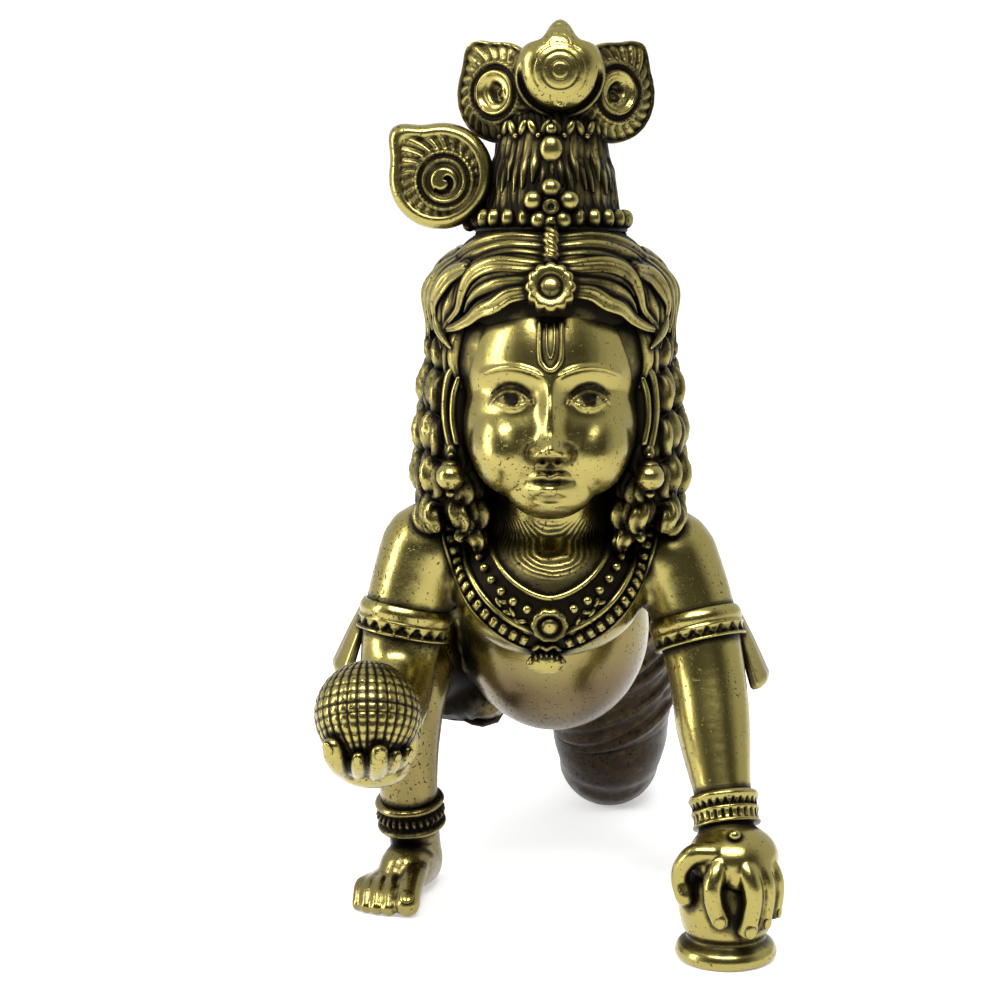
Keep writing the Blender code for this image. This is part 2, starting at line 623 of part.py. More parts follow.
def necklace(skin, half_width, top_z, bottom_z, radius, lift=0.3, power=2.2, steps=29):
    """A strand that hangs over the chest, on its skin, from shoulder to shoulder."""
    rows = []
    for step in range(steps):
        share = 2 * step / (steps - 1) - 1
        x = half_width * math.sin(share * math.pi / 2)
        z = bottom_z + (top_z - bottom_z) * abs(share) ** power
        hit, normal = skin.ray_cast(Vector((x, -60, z)), Vector((0, 1, 0)))[:2]
        if hit:
            rows.append((*(hit + normal * lift), radius))
    return rows


def add_necklaces(clay, skin):
    """Two wide collars with pendants."""
    strands = (
        (8.4, 57.0, 47.6, 0.7), (9.8, 57.0, 45.8, 1.0),
        (12.4, 57.0, 42.6, 0.7), (14.0, 57.0, 40.4, 1.15),
    )
    for half_width, top_z, bottom_z, radius in strands:
        rows = necklace(skin, half_width, top_z, bottom_z, radius)
        add_tubes(clay, [rows], steps=2)
    radius = PENDANT_RADIUS
    for z in (ROSETTE_Z, PENDANT_Z):
        hit, normal = skin.ray_cast(Vector((0, -60, z)), Vector((0, 1, 0)))[:2]
        profile = [(0, -1), (radius, -1), (radius, 0.9), (radius - 0.6, 1.4), (radius - 1.2, 0.9), (0, 1.8)]
        add_turned(clay, profile, along(hit, normal), 16)


def add_earrings(clay):
    head = head_place()
    for side in (-1, 1):
        add_tubes(clay, [[(side * 12.2, -3.2, 68.0, 0.8), (side * 12.8, -5.0, 64.0, 0.8), (side * 13.2, -6.2, 60.0, 0.8)]], head)
        add_ball(clay, (side * 13.0, -6.0, 62.4), EARRING_RADIUS, place=head, sides=12)


def add_dhoti(clay, skin):
    """The cloth round hips and thighs: a girdle, folds of uneven width and a pleated fall behind."""
    for index, (y, z, tilt) in enumerate(((35.0, 36.5, 0.5), (38.2, 36.2, 0.42))):
        add_tubes(clay, [loop_on(skin, (0, y, z), (0, 1, -tilt), 26, 0.2, 1.2 - 0.2 * index, 40)], closed=True)
    folds = []
    for share, radius in ((0.0, 0.9), (0.17, 1.2), (0.3, 0.7), (0.48, 1.1), (0.62, 0.7), (0.8, 1.0)):
        centre = Vector((7.4, 45, 33)).lerp(Vector((9.2, 53, 13)), share)
        folds.append(loop_on(skin, centre, (0.55, 0.25 + 0.2 * share, -1), 22, -radius * 0.25, radius, 32))
    for share, radius in ((0.08, 1.1), (0.24, 0.7), (0.42, 1.2), (0.56, 0.7), (0.74, 1.0), (0.92, 0.8)):
        centre = Vector((-7.5, 43, 34)).lerp(Vector((-17.0, 19.5, 33.4)), share)
        folds.append(loop_on(skin, centre, (-0.3, -1, -0.5 + 0.4 * share), 20, -radius * 0.25, radius, 32))
    add_tubes(clay, folds, closed=True)
    add_ball(clay, (-10.5, 31, 28), (4.8, 10.0, 7.0), (12, 0, 18))
    pleats = []
    for index in range(4):
        x = -3.0 + 2.0 * index
        pleats.append([(x, 50.0, 42, 1.2), (x, 55.5, 35, 1.4), (x + 0.3, 56.0, 28, 1.4), (x + 0.5, 53.6, 21, 1.3)])
    add_tubes(clay, pleats)


def skin_of(obj):
    """The object's shown surface, for casting rays at."""
    graph = bpy.context.evaluated_depsgraph_get()
    bpy.context.view_layer.update()
    return BVHTree.FromObject(obj, graph)


def make_brass():
    brass = bpy.data.materials.new("antique_brass")
    brass.use_nodes = True
    shader = brass.node_tree.nodes["Principled BSDF"]
    shader.inputs["Base Color"].default_value = (0.47, 0.36, 0.12, 1)
    shader.inputs["Metallic"].default_value = 1.0
    shader.inputs["Roughness"].default_value = 0.32
    return brass


def keep_detail(obj, mesh):
    """Marks the smooth limbs, which can lose more triangles than the head, the hands and the feet."""
    plain = obj.vertex_groups.new(name="plain")
    levels = {1.0: [], 0.6: []}
    for vertex in mesh.vertices:
        x, y, z = vertex.co
        carved = z > 56 or y < -6 or (z < 8 and x < -12) or y > 78
        levels[0.6 if carved else 1.0].append(vertex.index)
    for weight, indices in levels.items():
        plain.add(indices, weight, "REPLACE")


def make_floor_cutter(mesh):
    """Everything under the floor, which the casting's feet are ground flat against."""
    reach = 2 * max(abs(value) for vertex in mesh.vertices for value in vertex.co)
    bpy.ops.mesh.primitive_cube_add(size=2 * reach, location=(0, 0, -reach))
    cutter = bpy.context.object
    cutter.name = "floor_cutter"
    cutter.hide_render = True
    cutter.display_type = "WIRE"
    return cutter


def main():
    for obj in list(bpy.data.objects):
        bpy.data.objects.remove(obj)
    figure = bpy.data.collections.new("laddu_gopal_idol")
    bpy.context.scene.collection.children.link(figure)

    flesh = Clay()
    add_torso(flesh)
    add_limbs(flesh)
    body = fused(flesh, "body", FLESH_GRAIN, 16)
    skin = skin_of(body)

    clay = Clay()
    add_object(clay, body)
    face = add_head(clay)
    add_ball(clay, HAIR_CENTRE, HAIR_RADII, place=head_place(), sides=36)
    add_ball(clay, TOP_HAIR_CENTRE, TOP_HAIR_RADII, place=head_place(), sides=36)
    add_front_locks(clay)
    add_side_locks(clay)
    add_back_locks(clay)
    add_bun(clay)
    add_crown(clay)
    add_forehead_jewel(clay, face)
    add_earrings(clay)
    add_feet(clay)
    add_right_hand(clay)
    add_left_hand(clay)
    add_bands(clay, skin)
    add_necklaces(clay, skin)
    add_dhoti(clay, skin)

    fine = fused(clay, "fine_casting", CASTING_GRAIN, 2)
    mesh = shown_mesh(fine)
    bpy.data.objects.remove(fine)
    rough = shown("rough_casting", mesh)
    keep_detail(rough, mesh)
    facet = rough.modifiers.new("facet", "DECIMATE")
    facet.ratio = CASTING_TRIANGLES / (2 * len(mesh.polygons))
    facet.vertex_group = "plain"
    facet.vertex_group_factor = DETAIL_WEIGHT
    cutter = make_floor_cutter(mesh)
    floor = rough.modifiers.new("grind_flat", "BOOLEAN")
    floor.operation = "DIFFERENCE"
    floor.object = cutter
    mesh = shown_mesh(rough)
    bpy.data.objects.remove(rough)
    bpy.data.objects.remove(cutter)
    mesh.transform(Matrix.Scale(FIGURE_HEIGHT / max(vertex.co.z for vertex in mesh.vertices), 4))
    mesh.materials.clear()
    mesh.materials.append(make_brass())
    idol = bpy.data.objects.new("krishna_idol", mesh)
    figure.objects.link(idol)
    corners = [Vector(corner) for corner in idol.bound_box]
    idol.location.x = -(corners[0].x + corners[6].x) / 2
    idol.location.y = -(corners[0].y + corners[6].y) / 2


main()
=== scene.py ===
"""A crawling Krishna idol in antiqued brass, on a pale floor.

The carving that the CAD solid only hints at is modelled here: strands, beads, feathers, fingers and
folds. Sizes are in the sculptor's parts, which the end of the script fits to the CAD solid. The
figure faces -Y and +X is its left.
"""
import math

import bpy
import numpy as np
from mathutils import Euler, Matrix, Vector
from mathutils.bvhtree import BVHTree


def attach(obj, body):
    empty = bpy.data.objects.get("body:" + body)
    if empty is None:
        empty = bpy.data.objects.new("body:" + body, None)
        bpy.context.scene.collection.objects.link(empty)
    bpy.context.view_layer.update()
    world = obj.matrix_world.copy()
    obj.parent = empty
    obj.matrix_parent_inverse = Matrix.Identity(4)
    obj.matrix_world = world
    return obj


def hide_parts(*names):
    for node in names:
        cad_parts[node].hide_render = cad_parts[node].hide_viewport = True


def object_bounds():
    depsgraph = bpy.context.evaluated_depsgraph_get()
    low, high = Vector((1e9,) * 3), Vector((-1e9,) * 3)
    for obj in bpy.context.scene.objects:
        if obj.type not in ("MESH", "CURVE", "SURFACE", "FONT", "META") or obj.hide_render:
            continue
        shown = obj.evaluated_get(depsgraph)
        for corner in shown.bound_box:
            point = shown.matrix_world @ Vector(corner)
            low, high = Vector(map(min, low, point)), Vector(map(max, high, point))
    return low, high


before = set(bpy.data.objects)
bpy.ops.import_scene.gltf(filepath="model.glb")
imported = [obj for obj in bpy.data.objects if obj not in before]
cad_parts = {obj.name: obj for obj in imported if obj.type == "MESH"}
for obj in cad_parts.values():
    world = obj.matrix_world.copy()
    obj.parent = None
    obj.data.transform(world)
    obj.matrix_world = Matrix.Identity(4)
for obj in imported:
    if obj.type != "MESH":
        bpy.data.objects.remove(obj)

CAD_LOW, CAD_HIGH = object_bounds()
FIGURE_HEIGHT = 0.120

# The sizes that the CAD source gives these forms, in parts.
HEAD_PIVOT = (0.0, 2.0, 62.0)
HEAD_TILT = 8.0
CHIN_Z = 56.6
SKULL_TOP_Z = 91.0
HAIR_CENTRE = (0.0, 4.4, 78.0)
HAIR_RADII = (15.0, 15.6, 14.4)
TOP_HAIR_CENTRE = (0.0, 4.4, 84.0)
TOP_HAIR_RADII = (15.2, 13.6, 9.4)
FLARE_CENTRE = (0.0, 1.0, 85.0)
FLARE_RADII = (12.6, 12.6, 12.0)
BUN_Y = 1.0
BUN_HEIGHT = 15.0
BUN_BASE_Z = 93.5
BUN_TOP_Z = BUN_BASE_Z + BUN_HEIGHT
BUN_BASE_RADIUS = 9.0
BUN_NECK_RADIUS = 6.0
BUN_FRONT_Y = -BUN_BASE_RADIUS - 1.0
CROWN_X = 0.6
CROWN_Z = 112.8
# Each feather: half its width, height and depth, and how far its tip and shoulders shape the edge.
FRONT_FEATHER = (5.9, 5.9, 1.3, 0.17, 0.15)
CROWN_FEATHER = (6.6, 6.5, 1.3, 0.24, 0.0)
FRONT_FEATHER_AT = (0.5, -6.2, 1.3)
CROWN_SIDE_AT = (7.1, -1.6, -1.0)
CROWN_SIDE_TURN = 35.0
CROWN_SIDE_LEAN = 35.0
CROWN_BACK_AT = (0.0, 5.6, -0.5)
SIDE_FEATHER_AT = (-14.3, -2.6, 7.5)
SIDE_FEATHER = (7.0, 6.8, 1.2, 0.32, 0.0)
SIDE_FEATHER_LEAN = -46.0
BALL_AT = (-22.8, -24.6, 36.6)
BALL_RADIUS = 6.75
POT_AT = (23.3, -11.2)
POT_RADIUS = 6.3
POT_RIM_RADIUS = 6.6
POT_RIM_HEIGHT = 2.8
POT_NECK_RADIUS = 5.2
POT_HEIGHT = 13.4
ARMBAND_Z = 42.5
# The collars hang from this height: half the width and the lowest height of each edge.
COLLAR_TOP_Z = 58.0
INNER_COLLAR = (8.9, 47.5)
MIDDLE_COLLAR = (12.5, 42.6)
OUTER_COLLAR = (14.4, 39.4)
COLLAR_CURVE = 1.65
# Each limb's path: x, y, z and radius.
RIGHT_ARM = (
    (-16.4, 6.0, 51.0, 6.4), (-19.0, 4.6, 43.5, 5.7), (-20.2, 3.0, 36.5, 5.2),
    (-20.6, -1.5, 32.6, 4.9), (-21.4, -9.0, 30.6, 4.3), (-22.2, -15.5, 29.6, 3.5),
)
LEFT_ARM = (
    (16.2, 6.0, 50.0, 6.4), (19.0, 3.8, 43.5, 5.7), (20.9, 0.8, 35.5, 5.2),
    (21.8, -2.6, 28.5, 5.0), (22.8, -7.0, 21.5, 3.9), (23.4, -9.4, 17.0, 3.6),
)
RIGHT_LEG = (
    (-7.0, 44, 34, 9.6), (-12.5, 31, 33.5, 8.4), (-18.0, 17.5, 33.4, 6.6), (-19.4, 13.2, 30.0, 5.7),
    (-19.7, 13.6, 22, 4.7), (-19.4, 14.6, 13.5, 4.0), (-18.9, 15.8, 8.0, 3.6),
)
LEFT_LEG = ((7.4, 45, 33, 10.2), (8.9, 50, 22, 9.4), (9.2, 54.2, 11.0, 8.6))
LEFT_SHIN = ((9.1, 57.0, 7.2, 7.8), (8.9, 66, 5.4, 5.6), (8.4, 75.5, 4.4, 3.9), (8.2, 80, 4.6, 3.8))

IN_FRONT_Y = -60.0
LOWEST_Z = 0.01
SENSOR_WIDTH = 36
LENS = SENSOR_WIDTH * 3.234
CAMERA_AT = (0, -415.8, 147.3)
CAMERA_AIM = (-6.5, -5, 60)
LIGHT_AIM = (0, 0, 0.06)


class Form:
    """Closed shells, gathered before they become one piece."""

    def __init__(self):
        self.points, self.faces, self.count = [], [], 0

    def add(self, points, faces, place=None):
        """Takes in one closed shell, its faces turned outwards."""
        points = np.asarray(points, float)
        if place is not None:
            matrix = np.array(place)
            points = points @ matrix[:3, :3].T + matrix[:3, 3]
        centred = points - points.mean(0)
        corners = centred[np.array([face[:3] for face in faces])]
        fourth = centred[np.array([[face[0], face[-2], face[-1]] for face in faces])]
        volume = np.sum(np.cross(corners[:, 0], corners[:, 1]) * corners[:, 2])
        four_sided = [len(face) == 4 for face in faces]
        volume += np.sum((np.cross(fourth[:, 0], fourth[:, 1]) * fourth[:, 2])[four_sided])
        if volume < 0:
            faces = [face[::-1] for face in faces]
        self.points.append(points)
        self.faces += [[index + self.count for index in face] for face in faces]
        self.count += len(points)

    def all_points(self):
        return np.concatenate(self.points)


def tube_faces(rings, sides, closed=False):
    """Quads over rings of points, plus a fan at each end's last point unless the tube is closed."""
    faces = []
    for ring in range(rings if closed else rings - 1):
        a, b = ring * sides, (ring + 1) % rings * sides
        faces += [(a + s, b + s, b + (s + 1) % sides, a + (s + 1) % sides) for s in range(sides)]
    if not closed:
        first, last = rings * sides, rings * sides + 1
        end = (rings - 1) * sides
        faces += [(first, s, (s + 1) % sides) for s in range(sides)]
        faces += [(last, end + (s + 1) % sides, end + s) for s in range(sides)]
    return faces


def smooth_rows(rows, steps=6):
    """Rows of numbers on a Catmull-Rom curve through the given rows."""
    rows = np.asarray(rows, float)
    padded = np.vstack([rows[0] * 2 - rows[1], rows, rows[-1] * 2 - rows[-2]])
    found = []
    for p, a, b, q in zip(padded, padded[1:], padded[2:], padded[3:]):
        for step in range(steps):
            t = step / steps
            square = (2 * p - 5 * a + 4 * b - q) * t**2
            cube = (3 * a - p - 3 * b + q) * t**3
            found.append(0.5 * (2 * a + (b - p) * t + square + cube))
    return np.array([*found, rows[-1]])


def unit(vectors):
    return vectors / np.maximum(np.linalg.norm(vectors, axis=-1, keepdims=True), 1e-9)


def add_ball(form, centre, radii, turn=(0.0, 0.0, 0.0), place=None, sides=16, relief=None):
    """An ellipsoid. turn is in degrees about X, Y and Z. relief(longitude, latitude) lifts its skin."""
    radii = (radii,) * 3 if isinstance(radii, (int, float)) else radii
    rings = sides // 2 + 1
    latitude = np.linspace(-math.pi / 2, math.pi / 2, rings + 2)[1:-1]
    longitude = np.arange(sides) * math.tau / sides
    lat, lon = np.meshgrid(latitude, longitude, indexing="ij")
    out = np.stack([np.cos(lat) * np.cos(lon), np.cos(lat) * np.sin(lon), np.sin(lat)], -1).reshape(-1, 3)
    out = np.vstack([out, [[0, 0, -1], [0, 0, 1]]])
    points = out * np.array(radii)
    if relief:
        lift = np.append(relief(lon, lat).ravel(), [0, 0])
        points += out * lift[:, None]
    matrix = Matrix.LocRotScale(Vector(centre), Euler([math.radians(a) for a in turn]), None)
    form.add(points, tube_faces(rings, sides), (place or Matrix.Identity(4)) @ matrix)


def add_rope(form, rows, sides=14, strands=0, groove=0.0, twist=0.0, flat=1.0, centre=None, closed=False,
             place=None, steps=5):
    """A round or flattened tube along a smooth path, with rounded ends and grooves between its strands.

    A path's rows are x, y, z and radius. Flat thins the tube along the way out from the centre.
    """
    path = np.asarray(rows, float) if closed else smooth_rows(rows, steps)
    if not closed:
        ends = []
        for tip, step in ((path[0], path[0, :3] - path[1, :3]), (path[-1], path[-1, :3] - path[-2, :3])):
            way = unit(step)
            ends.append([
                np.append(tip[:3] + way * tip[3] * flat * math.sin(a), tip[3] * math.cos(a))
                for a in (0.5, 1.0, 1.4)
            ])
        path = np.vstack([ends[0][::-1], path, ends[1]])
    points, radius = path[:, :3], path[:, 3]
    if closed:
        along_path = unit(np.roll(points, -1, 0) - np.roll(points, 1, 0))
    else:
        along_path = unit(np.gradient(points, axis=0))
    if centre is not None:
        up = points - np.asarray(centre, float)
    else:
        up = np.empty_like(points)
        up[0] = np.cross(along_path[0], [0.31, 0.12, 0.94])
        for i in range(1, len(points)):
            up[i] = up[i - 1] - along_path[i] * (up[i - 1] @ along_path[i])
            up[i] /= max(np.linalg.norm(up[i]), 1e-9)
    up = unit(up - along_path * np.sum(up * along_path, 1, keepdims=True))
    side = np.cross(along_path, up)
    angle = np.arange(sides) * math.tau / sides
    share = np.linspace(0, 1, len(points))[:, None]
    reach = radius[:, None]
    if strands:
        turned = (angle[None] + share * math.tau * twist) * strands / 2
        reach = reach * (1 + groove * (np.abs(np.cos(turned)) * 2 - 1))
    rings = (
        points[:, None]
        + (reach * flat * np.cos(angle))[..., None] * up[:, None]
        + (reach * np.sin(angle))[..., None] * side[:, None]
    ).reshape(-1, 3)
    if not closed:
        rings = np.vstack([rings, points[0], points[-1]])
    faces = tube_faces(len(points), sides, closed)
    form.add(rings, [face[::-1] for face in faces], place)


def add_turned(form, profile, place, sides=40, scallops=0, depth=0.0):
    """A turned shape about the placed Z axis. The rim can be scalloped."""
    rows = np.array(profile, float)
    angle = np.arange(sides) * math.tau / sides
    wave = 1 + depth * (np.abs(np.cos(angle * scallops / 2)) - 0.6) if scallops else np.ones(sides)
    widest = rows[:, 0].max()
    points = []
    for radius, height in rows:
        share = max(0.0, radius / widest - 0.6) / 0.4
        reach = radius * (1 + (wave - 1) * share)
        points.append(np.stack([reach * np.cos(angle), reach * np.sin(angle), np.full(sides, height)], -1))
    points = np.vstack([*points, [[0, 0, rows[0, 1]], [0, 0, rows[-1, 1]]]])
    form.add(points, [face[::-1] for face in tube_faces(len(rows), sides)], place)


def add_leaf(form, place, half_width, half_height, half_depth, tip, shoulder, front, rings=36, sides=120):
    """A feather's eye in the placed XZ plane. Its shoulders run up to a point, and front(x, z, r) is
    the relief of the side that faces -Y, where r runs from 0 at the middle to 1 at the edge."""
    angle = np.arange(sides) * math.tau / sides
    turn = np.abs((angle + math.pi) % math.tau - math.pi)
    reach = 1 + tip * np.exp(-((turn / 0.3) ** 2)) - shoulder * np.exp(-(((turn - 0.5) / 0.3) ** 2))
    rows = []
    shares = np.concatenate([np.linspace(0.02, 0.97, rings), [1.0], np.linspace(0.97, 0.1, 12)])
    for index, share in enumerate(shares):
        x = share * half_width * reach * np.sin(angle)
        z = share * half_height * reach * np.cos(angle)
        y = half_depth * math.sqrt(max(0.0, 1 - share**4)) * np.ones(sides)
        if index < rings:
            y = -y - front(x, z, share)
        rows.append(np.stack([x, y, z], -1))
    points = np.vstack([*rows, [[0, rows[0][:, 1].mean(), 0], [0, rows[-1][:, 1].mean(), 0]]])
    form.add(points, tube_faces(len(shares), sides), place)


def along(point, direction):
    """The placement that has its origin at a point and its Z axis along a direction."""
    return Matrix.Translation(Vector(point)) @ Vector(direction).to_track_quat("Z", "Y").to_matrix().to_4x4()


def head_place():
    """Carries the upright head onto the neck."""
    pivot = Matrix.Translation(Vector(HEAD_PIVOT))
    return pivot @ Matrix.Rotation(math.radians(-HEAD_TILT), 4, "X") @ pivot.inverted()


HEAD = head_place()


def in_head(points):
    matrix = np.array(HEAD)
    return np.asarray(points) @ matrix[:3, :3].T + matrix[:3, 3]


def way_out(azimuth, elevation):
    """A direction in degrees. Azimuth runs from the front towards the figure's left."""
    a, e = math.radians(azimuth), math.radians(elevation)
    return np.array([math.cos(e) * math.sin(a), -math.cos(e) * math.cos(a), math.sin(e)])


def front_hit(tree, x, z):
    """Where a line from the front meets a surface, and the surface's normal there."""
    return tree.ray_cast(Vector((x, IN_FRONT_Y, z)), Vector((0, 1, 0)))[:2]


def add_object(name, data):
    obj = bpy.data.objects.new(name, data)
    bpy.context.scene.collection.objects.link(obj)
    return obj


def fuse(form, grain, rounds):
    """The form's shells as one closed skin, softened by rounds of smoothing. Returns points and quads."""
    mesh = bpy.data.meshes.new("clay")
    mesh.from_pydata(form.all_points().tolist(), [], form.faces)
    obj = add_object("clay", mesh)
    remesh = obj.modifiers.new("fuse", "REMESH")
    remesh.mode = "VOXEL"
    remesh.voxel_size = grain
    smooth = obj.modifiers.new("soften", "SMOOTH")
    smooth.iterations = rounds
    bpy.context.view_layer.update()
    shown = obj.evaluated_get(bpy.context.evaluated_depsgraph_get()).to_mesh()
    points = np.empty(len(shown.vertices) * 3)
    shown.vertices.foreach_get("co", points)
    corners = np.empty(len(shown.loops), int)
    shown.loops.foreach_get("vertex_index", corners)
    bpy.data.objects.remove(obj)
    return points.reshape(-1, 3), corners.reshape(-1, 4)


def fused(form, grain, rounds):
    """A new form that holds the fused skin."""
    points, quads = fuse(form, grain, rounds)
    made = Form()
    made.add(points, quads.tolist())
    return made


def tree_of(points, quads):
    return BVHTree.FromPolygons(points.tolist(), quads.tolist())


def add_limb(form, rows, sides=20):
    add_rope(form, rows, sides=sides)


def mound(x, z, centre, radii, height):
    return height * np.exp(-(((x - centre[0]) / radii[0]) ** 2) - ((z - centre[1]) / radii[1]) ** 2)


def ridge(distance, width, height):
    return height * np.exp(-((distance / width) ** 2))


def eye_place():
    """How far aside and how high a child's eyes are, by the canon: a little under half-way up the head."""
    height = SKULL_TOP_Z - CHIN_Z
    return 0.145 * height, CHIN_Z + 0.455 * height


def face_relief(x, z):
    """How far the face stands out at places of its front, by the canon of a child's face.

    Five eyes fit across the head, the nose ends half-way from them to the chin, and the mouth is a
    third of the way from the nose to the chin.
    """
    eye_x, eye_z = eye_place()
    nose_z = CHIN_Z + 0.5 * (eye_z - CHIN_Z)
    mouth_z = nose_z - (nose_z - CHIN_Z) / 3
    half_eye = 2.35
    x = np.abs(x)
    # Sockets, then the eyeballs and the arcs of the lids and brows over them.
    relief = mound(x, z, (eye_x, eye_z + 0.3), (3.5, 2.5), -1.9)
    relief += mound(x, z, (eye_x, eye_z - 0.1), (2.1, 1.25), 2.0)
    u = (x - eye_x) / half_eye
    within = np.clip(1.25 - np.abs(u), 0, 0.25) * 4
    upper = eye_z + 1.15 * (1 - u**2)
    lower = eye_z - 0.85 * (1 - u**2)
    relief += ridge(z - upper, 0.24, 0.55) * within
    relief += ridge(z - upper - 0.75, 0.2, -0.3) * within
    relief += ridge(z - lower, 0.2, 0.35) * within
    iris = np.hypot(x - eye_x, z - eye_z - 0.1)
    relief += ridge(iris - 0.95, 0.16, -0.25) + ridge(iris, 0.4, -0.25)
    brow = eye_z + 3.3 + 0.9 * (1 - ((x - eye_x - 0.2) / 3.6) ** 2)
    relief += ridge(z - brow, 0.42, 0.6) * np.clip((4.3 - np.abs(x - eye_x)) / 0.8, 0, 1)
    # The nose.
    relief += mound(x, z, (0, eye_z - 1.0), (1.25, 4.6), 1.5)
    relief += mound(x, z, (0, nose_z + 1.5), (1.65, 1.75), 2.6)
    relief += mound(x, z, (1.85, nose_z + 1.0), (0.95, 0.95), 1.6)
    relief += mound(x, z, (0.95, nose_z + 0.2), (0.5, 0.32), -1.2)
    relief += ridge(np.hypot(x - 1.7, z - nose_z - 1.1) - 1.35, 0.25, -0.35) * (x > 1.7)
    # The lips, closed and at rest.
    relief += mound(x, z, (0, mouth_z), (3.4, 2.1), 0.5)
    bow = mouth_z + 0.95 - 0.25 * np.exp(-((x / 0.5) ** 2)) - 0.05 * x**2
    relief += ridge(z - bow, 0.62, 0.75) * np.clip((3.0 - x) / 1.2, 0, 1)
    relief += mound(x, z, (0, mouth_z - 0.85), (2.1, 0.85), 0.95)
    relief += ridge(z - mouth_z - 0.04 * x**2, 0.17, -0.35) * np.clip((3.0 - x) / 0.8, 0, 1)
    relief += mound(x, z, (0, mouth_z - 2.2), (2.2, 0.5), -0.5)
    relief += mound(x, z, (0, nose_z - 0.6), (0.45, 0.9), -0.35)
    relief += mound(x, z, (0, CHIN_Z + 2.6), (2.6, 1.6), 0.7)
    relief += mound(x, z, (5.8, nose_z - 0.2), (3.4, 3.2), 0.6)
    return relief


def make_head():
    """Skull and face. Returns the upright head's points and quads."""
    form = Form()
    add_ball(form, (0, 0.5, 76.0), (12.2, 13.6, 14.6), sides=48)
    add_ball(form, (0, -3.4, 68.9), (11.5, 10.2, 11.0), sides=48)
    add_ball(form, (0, -7.4, CHIN_Z + 4.5), (5.8, 4.8, 4.4), sides=32)
    for side in (-1, 1):
        add_ball(form, (side * 4.9, -7.2, 66.6), (5.5, 5.6, 6.8), sides=32)
    # The hair hides the back of the skull, so it is cut flat there.
    for points in form.points:
        points[:, 1] = np.minimum(points[:, 1], 1.0)
    points, quads = fuse(form, 0.24, 42)
    share = np.clip((-4.5 - points[:, 1]) / 3.0, 0, 1)
    points[:, 1] -= share * face_relief(points[:, 0], points[:, 2])
    return points, quads


def on_hair(azimuth, elevation, lift=0.0):
    """A point over the hair's round form."""
    out = way_out(azimuth, elevation)
    reach = out * HAIR_RADII
    far = 1.0
    for centre, radii in ((TOP_HAIR_CENTRE, TOP_HAIR_RADII), (FLARE_CENTRE, FLARE_RADII)):
        # Where the same line leaves this swelling, which may be further out.
        rise = (np.array(HAIR_CENTRE) - centre) / radii
        step = reach / radii
        inside = (step @ rise) ** 2 - step @ step * (rise @ rise - 1)
        if inside > 0:
            far = max(far, (math.sqrt(inside) - step @ rise) / (step @ step))
    return np.array(HAIR_CENTRE) + reach * far + out * lift


def add_lock(form, places, width, ridges, lift, tail):
    """A flat lock of hair over the head, ridged along its length, with a pointed end.

    Places are azimuths and elevations. Tail is how narrow the far end is.
    """
    rows = []
    for index, (azimuth, elevation) in enumerate(places):
        share = index / (len(places) - 1)
        swell = 0.62 + 0.38 * math.sin(math.pi * min(1.0, share * 1.25))
        narrow = 1 - (1 - tail) * share**2.5
        rows.append((*on_hair(azimuth, elevation, lift), width * swell * narrow))
    add_rope(form, rows, ridges * 6, ridges, 0.2, flat=0.62, centre=HAIR_CENTRE, place=HEAD, steps=6)


def add_curl(form, side, start, end, wide, turns, radius, phase):
    """A ringlet that hangs beside the face: a twisted rope that winds about its own line."""
    rows = []
    for fall in np.linspace(0, 1, 37):
        x, y, z = np.array(start) + (np.array(end) - start) * fall
        turn = fall * math.tau * turns + phase
        swell = 1 + 0.25 * math.sin(math.pi * fall) - 0.45 * fall**5
        rows.append((side * (x + wide * math.sin(turn)), y + wide * math.cos(turn), z, radius * swell))
    add_rope(form, rows, 24, 4, 0.27, turns * 0.62 * side, 1.0, place=HEAD, steps=3)


def add_back_waves(form):
    """The waves that fall from the crown of the head down the back."""
    count = 13
    for index in range(count):
        spread = (index / (count - 1) - 0.5) * 2
        rows = []
        for rise in (68, 60, 50, 38, 26, 12):
            point = in_head(on_hair(180 - spread * 82, rise, 0.2 + 0.2 * (index % 2)))
            rows.append((*point, 1.9 - 0.014 * rise))
        for step in range(12):
            fall = step / 11
            wave = math.sin(fall * math.tau * 1.8 + index * 1.3) * 0.9
            rows.append((
                spread * (14.0 - 2.8 * fall) + wave,
                21.4 - 8.0 * spread**2 + 1.5 * fall + 0.4 * (index % 2),
                74.5 - (21.0 - 4.0 * spread**2 + 1.2 * (index % 2)) * fall,
                2.0 - 1.0 * fall,
            ))
        add_rope(form, rows, 20, 5, 0.2, 1.0, 0.9, (0, 4, 70), steps=3)


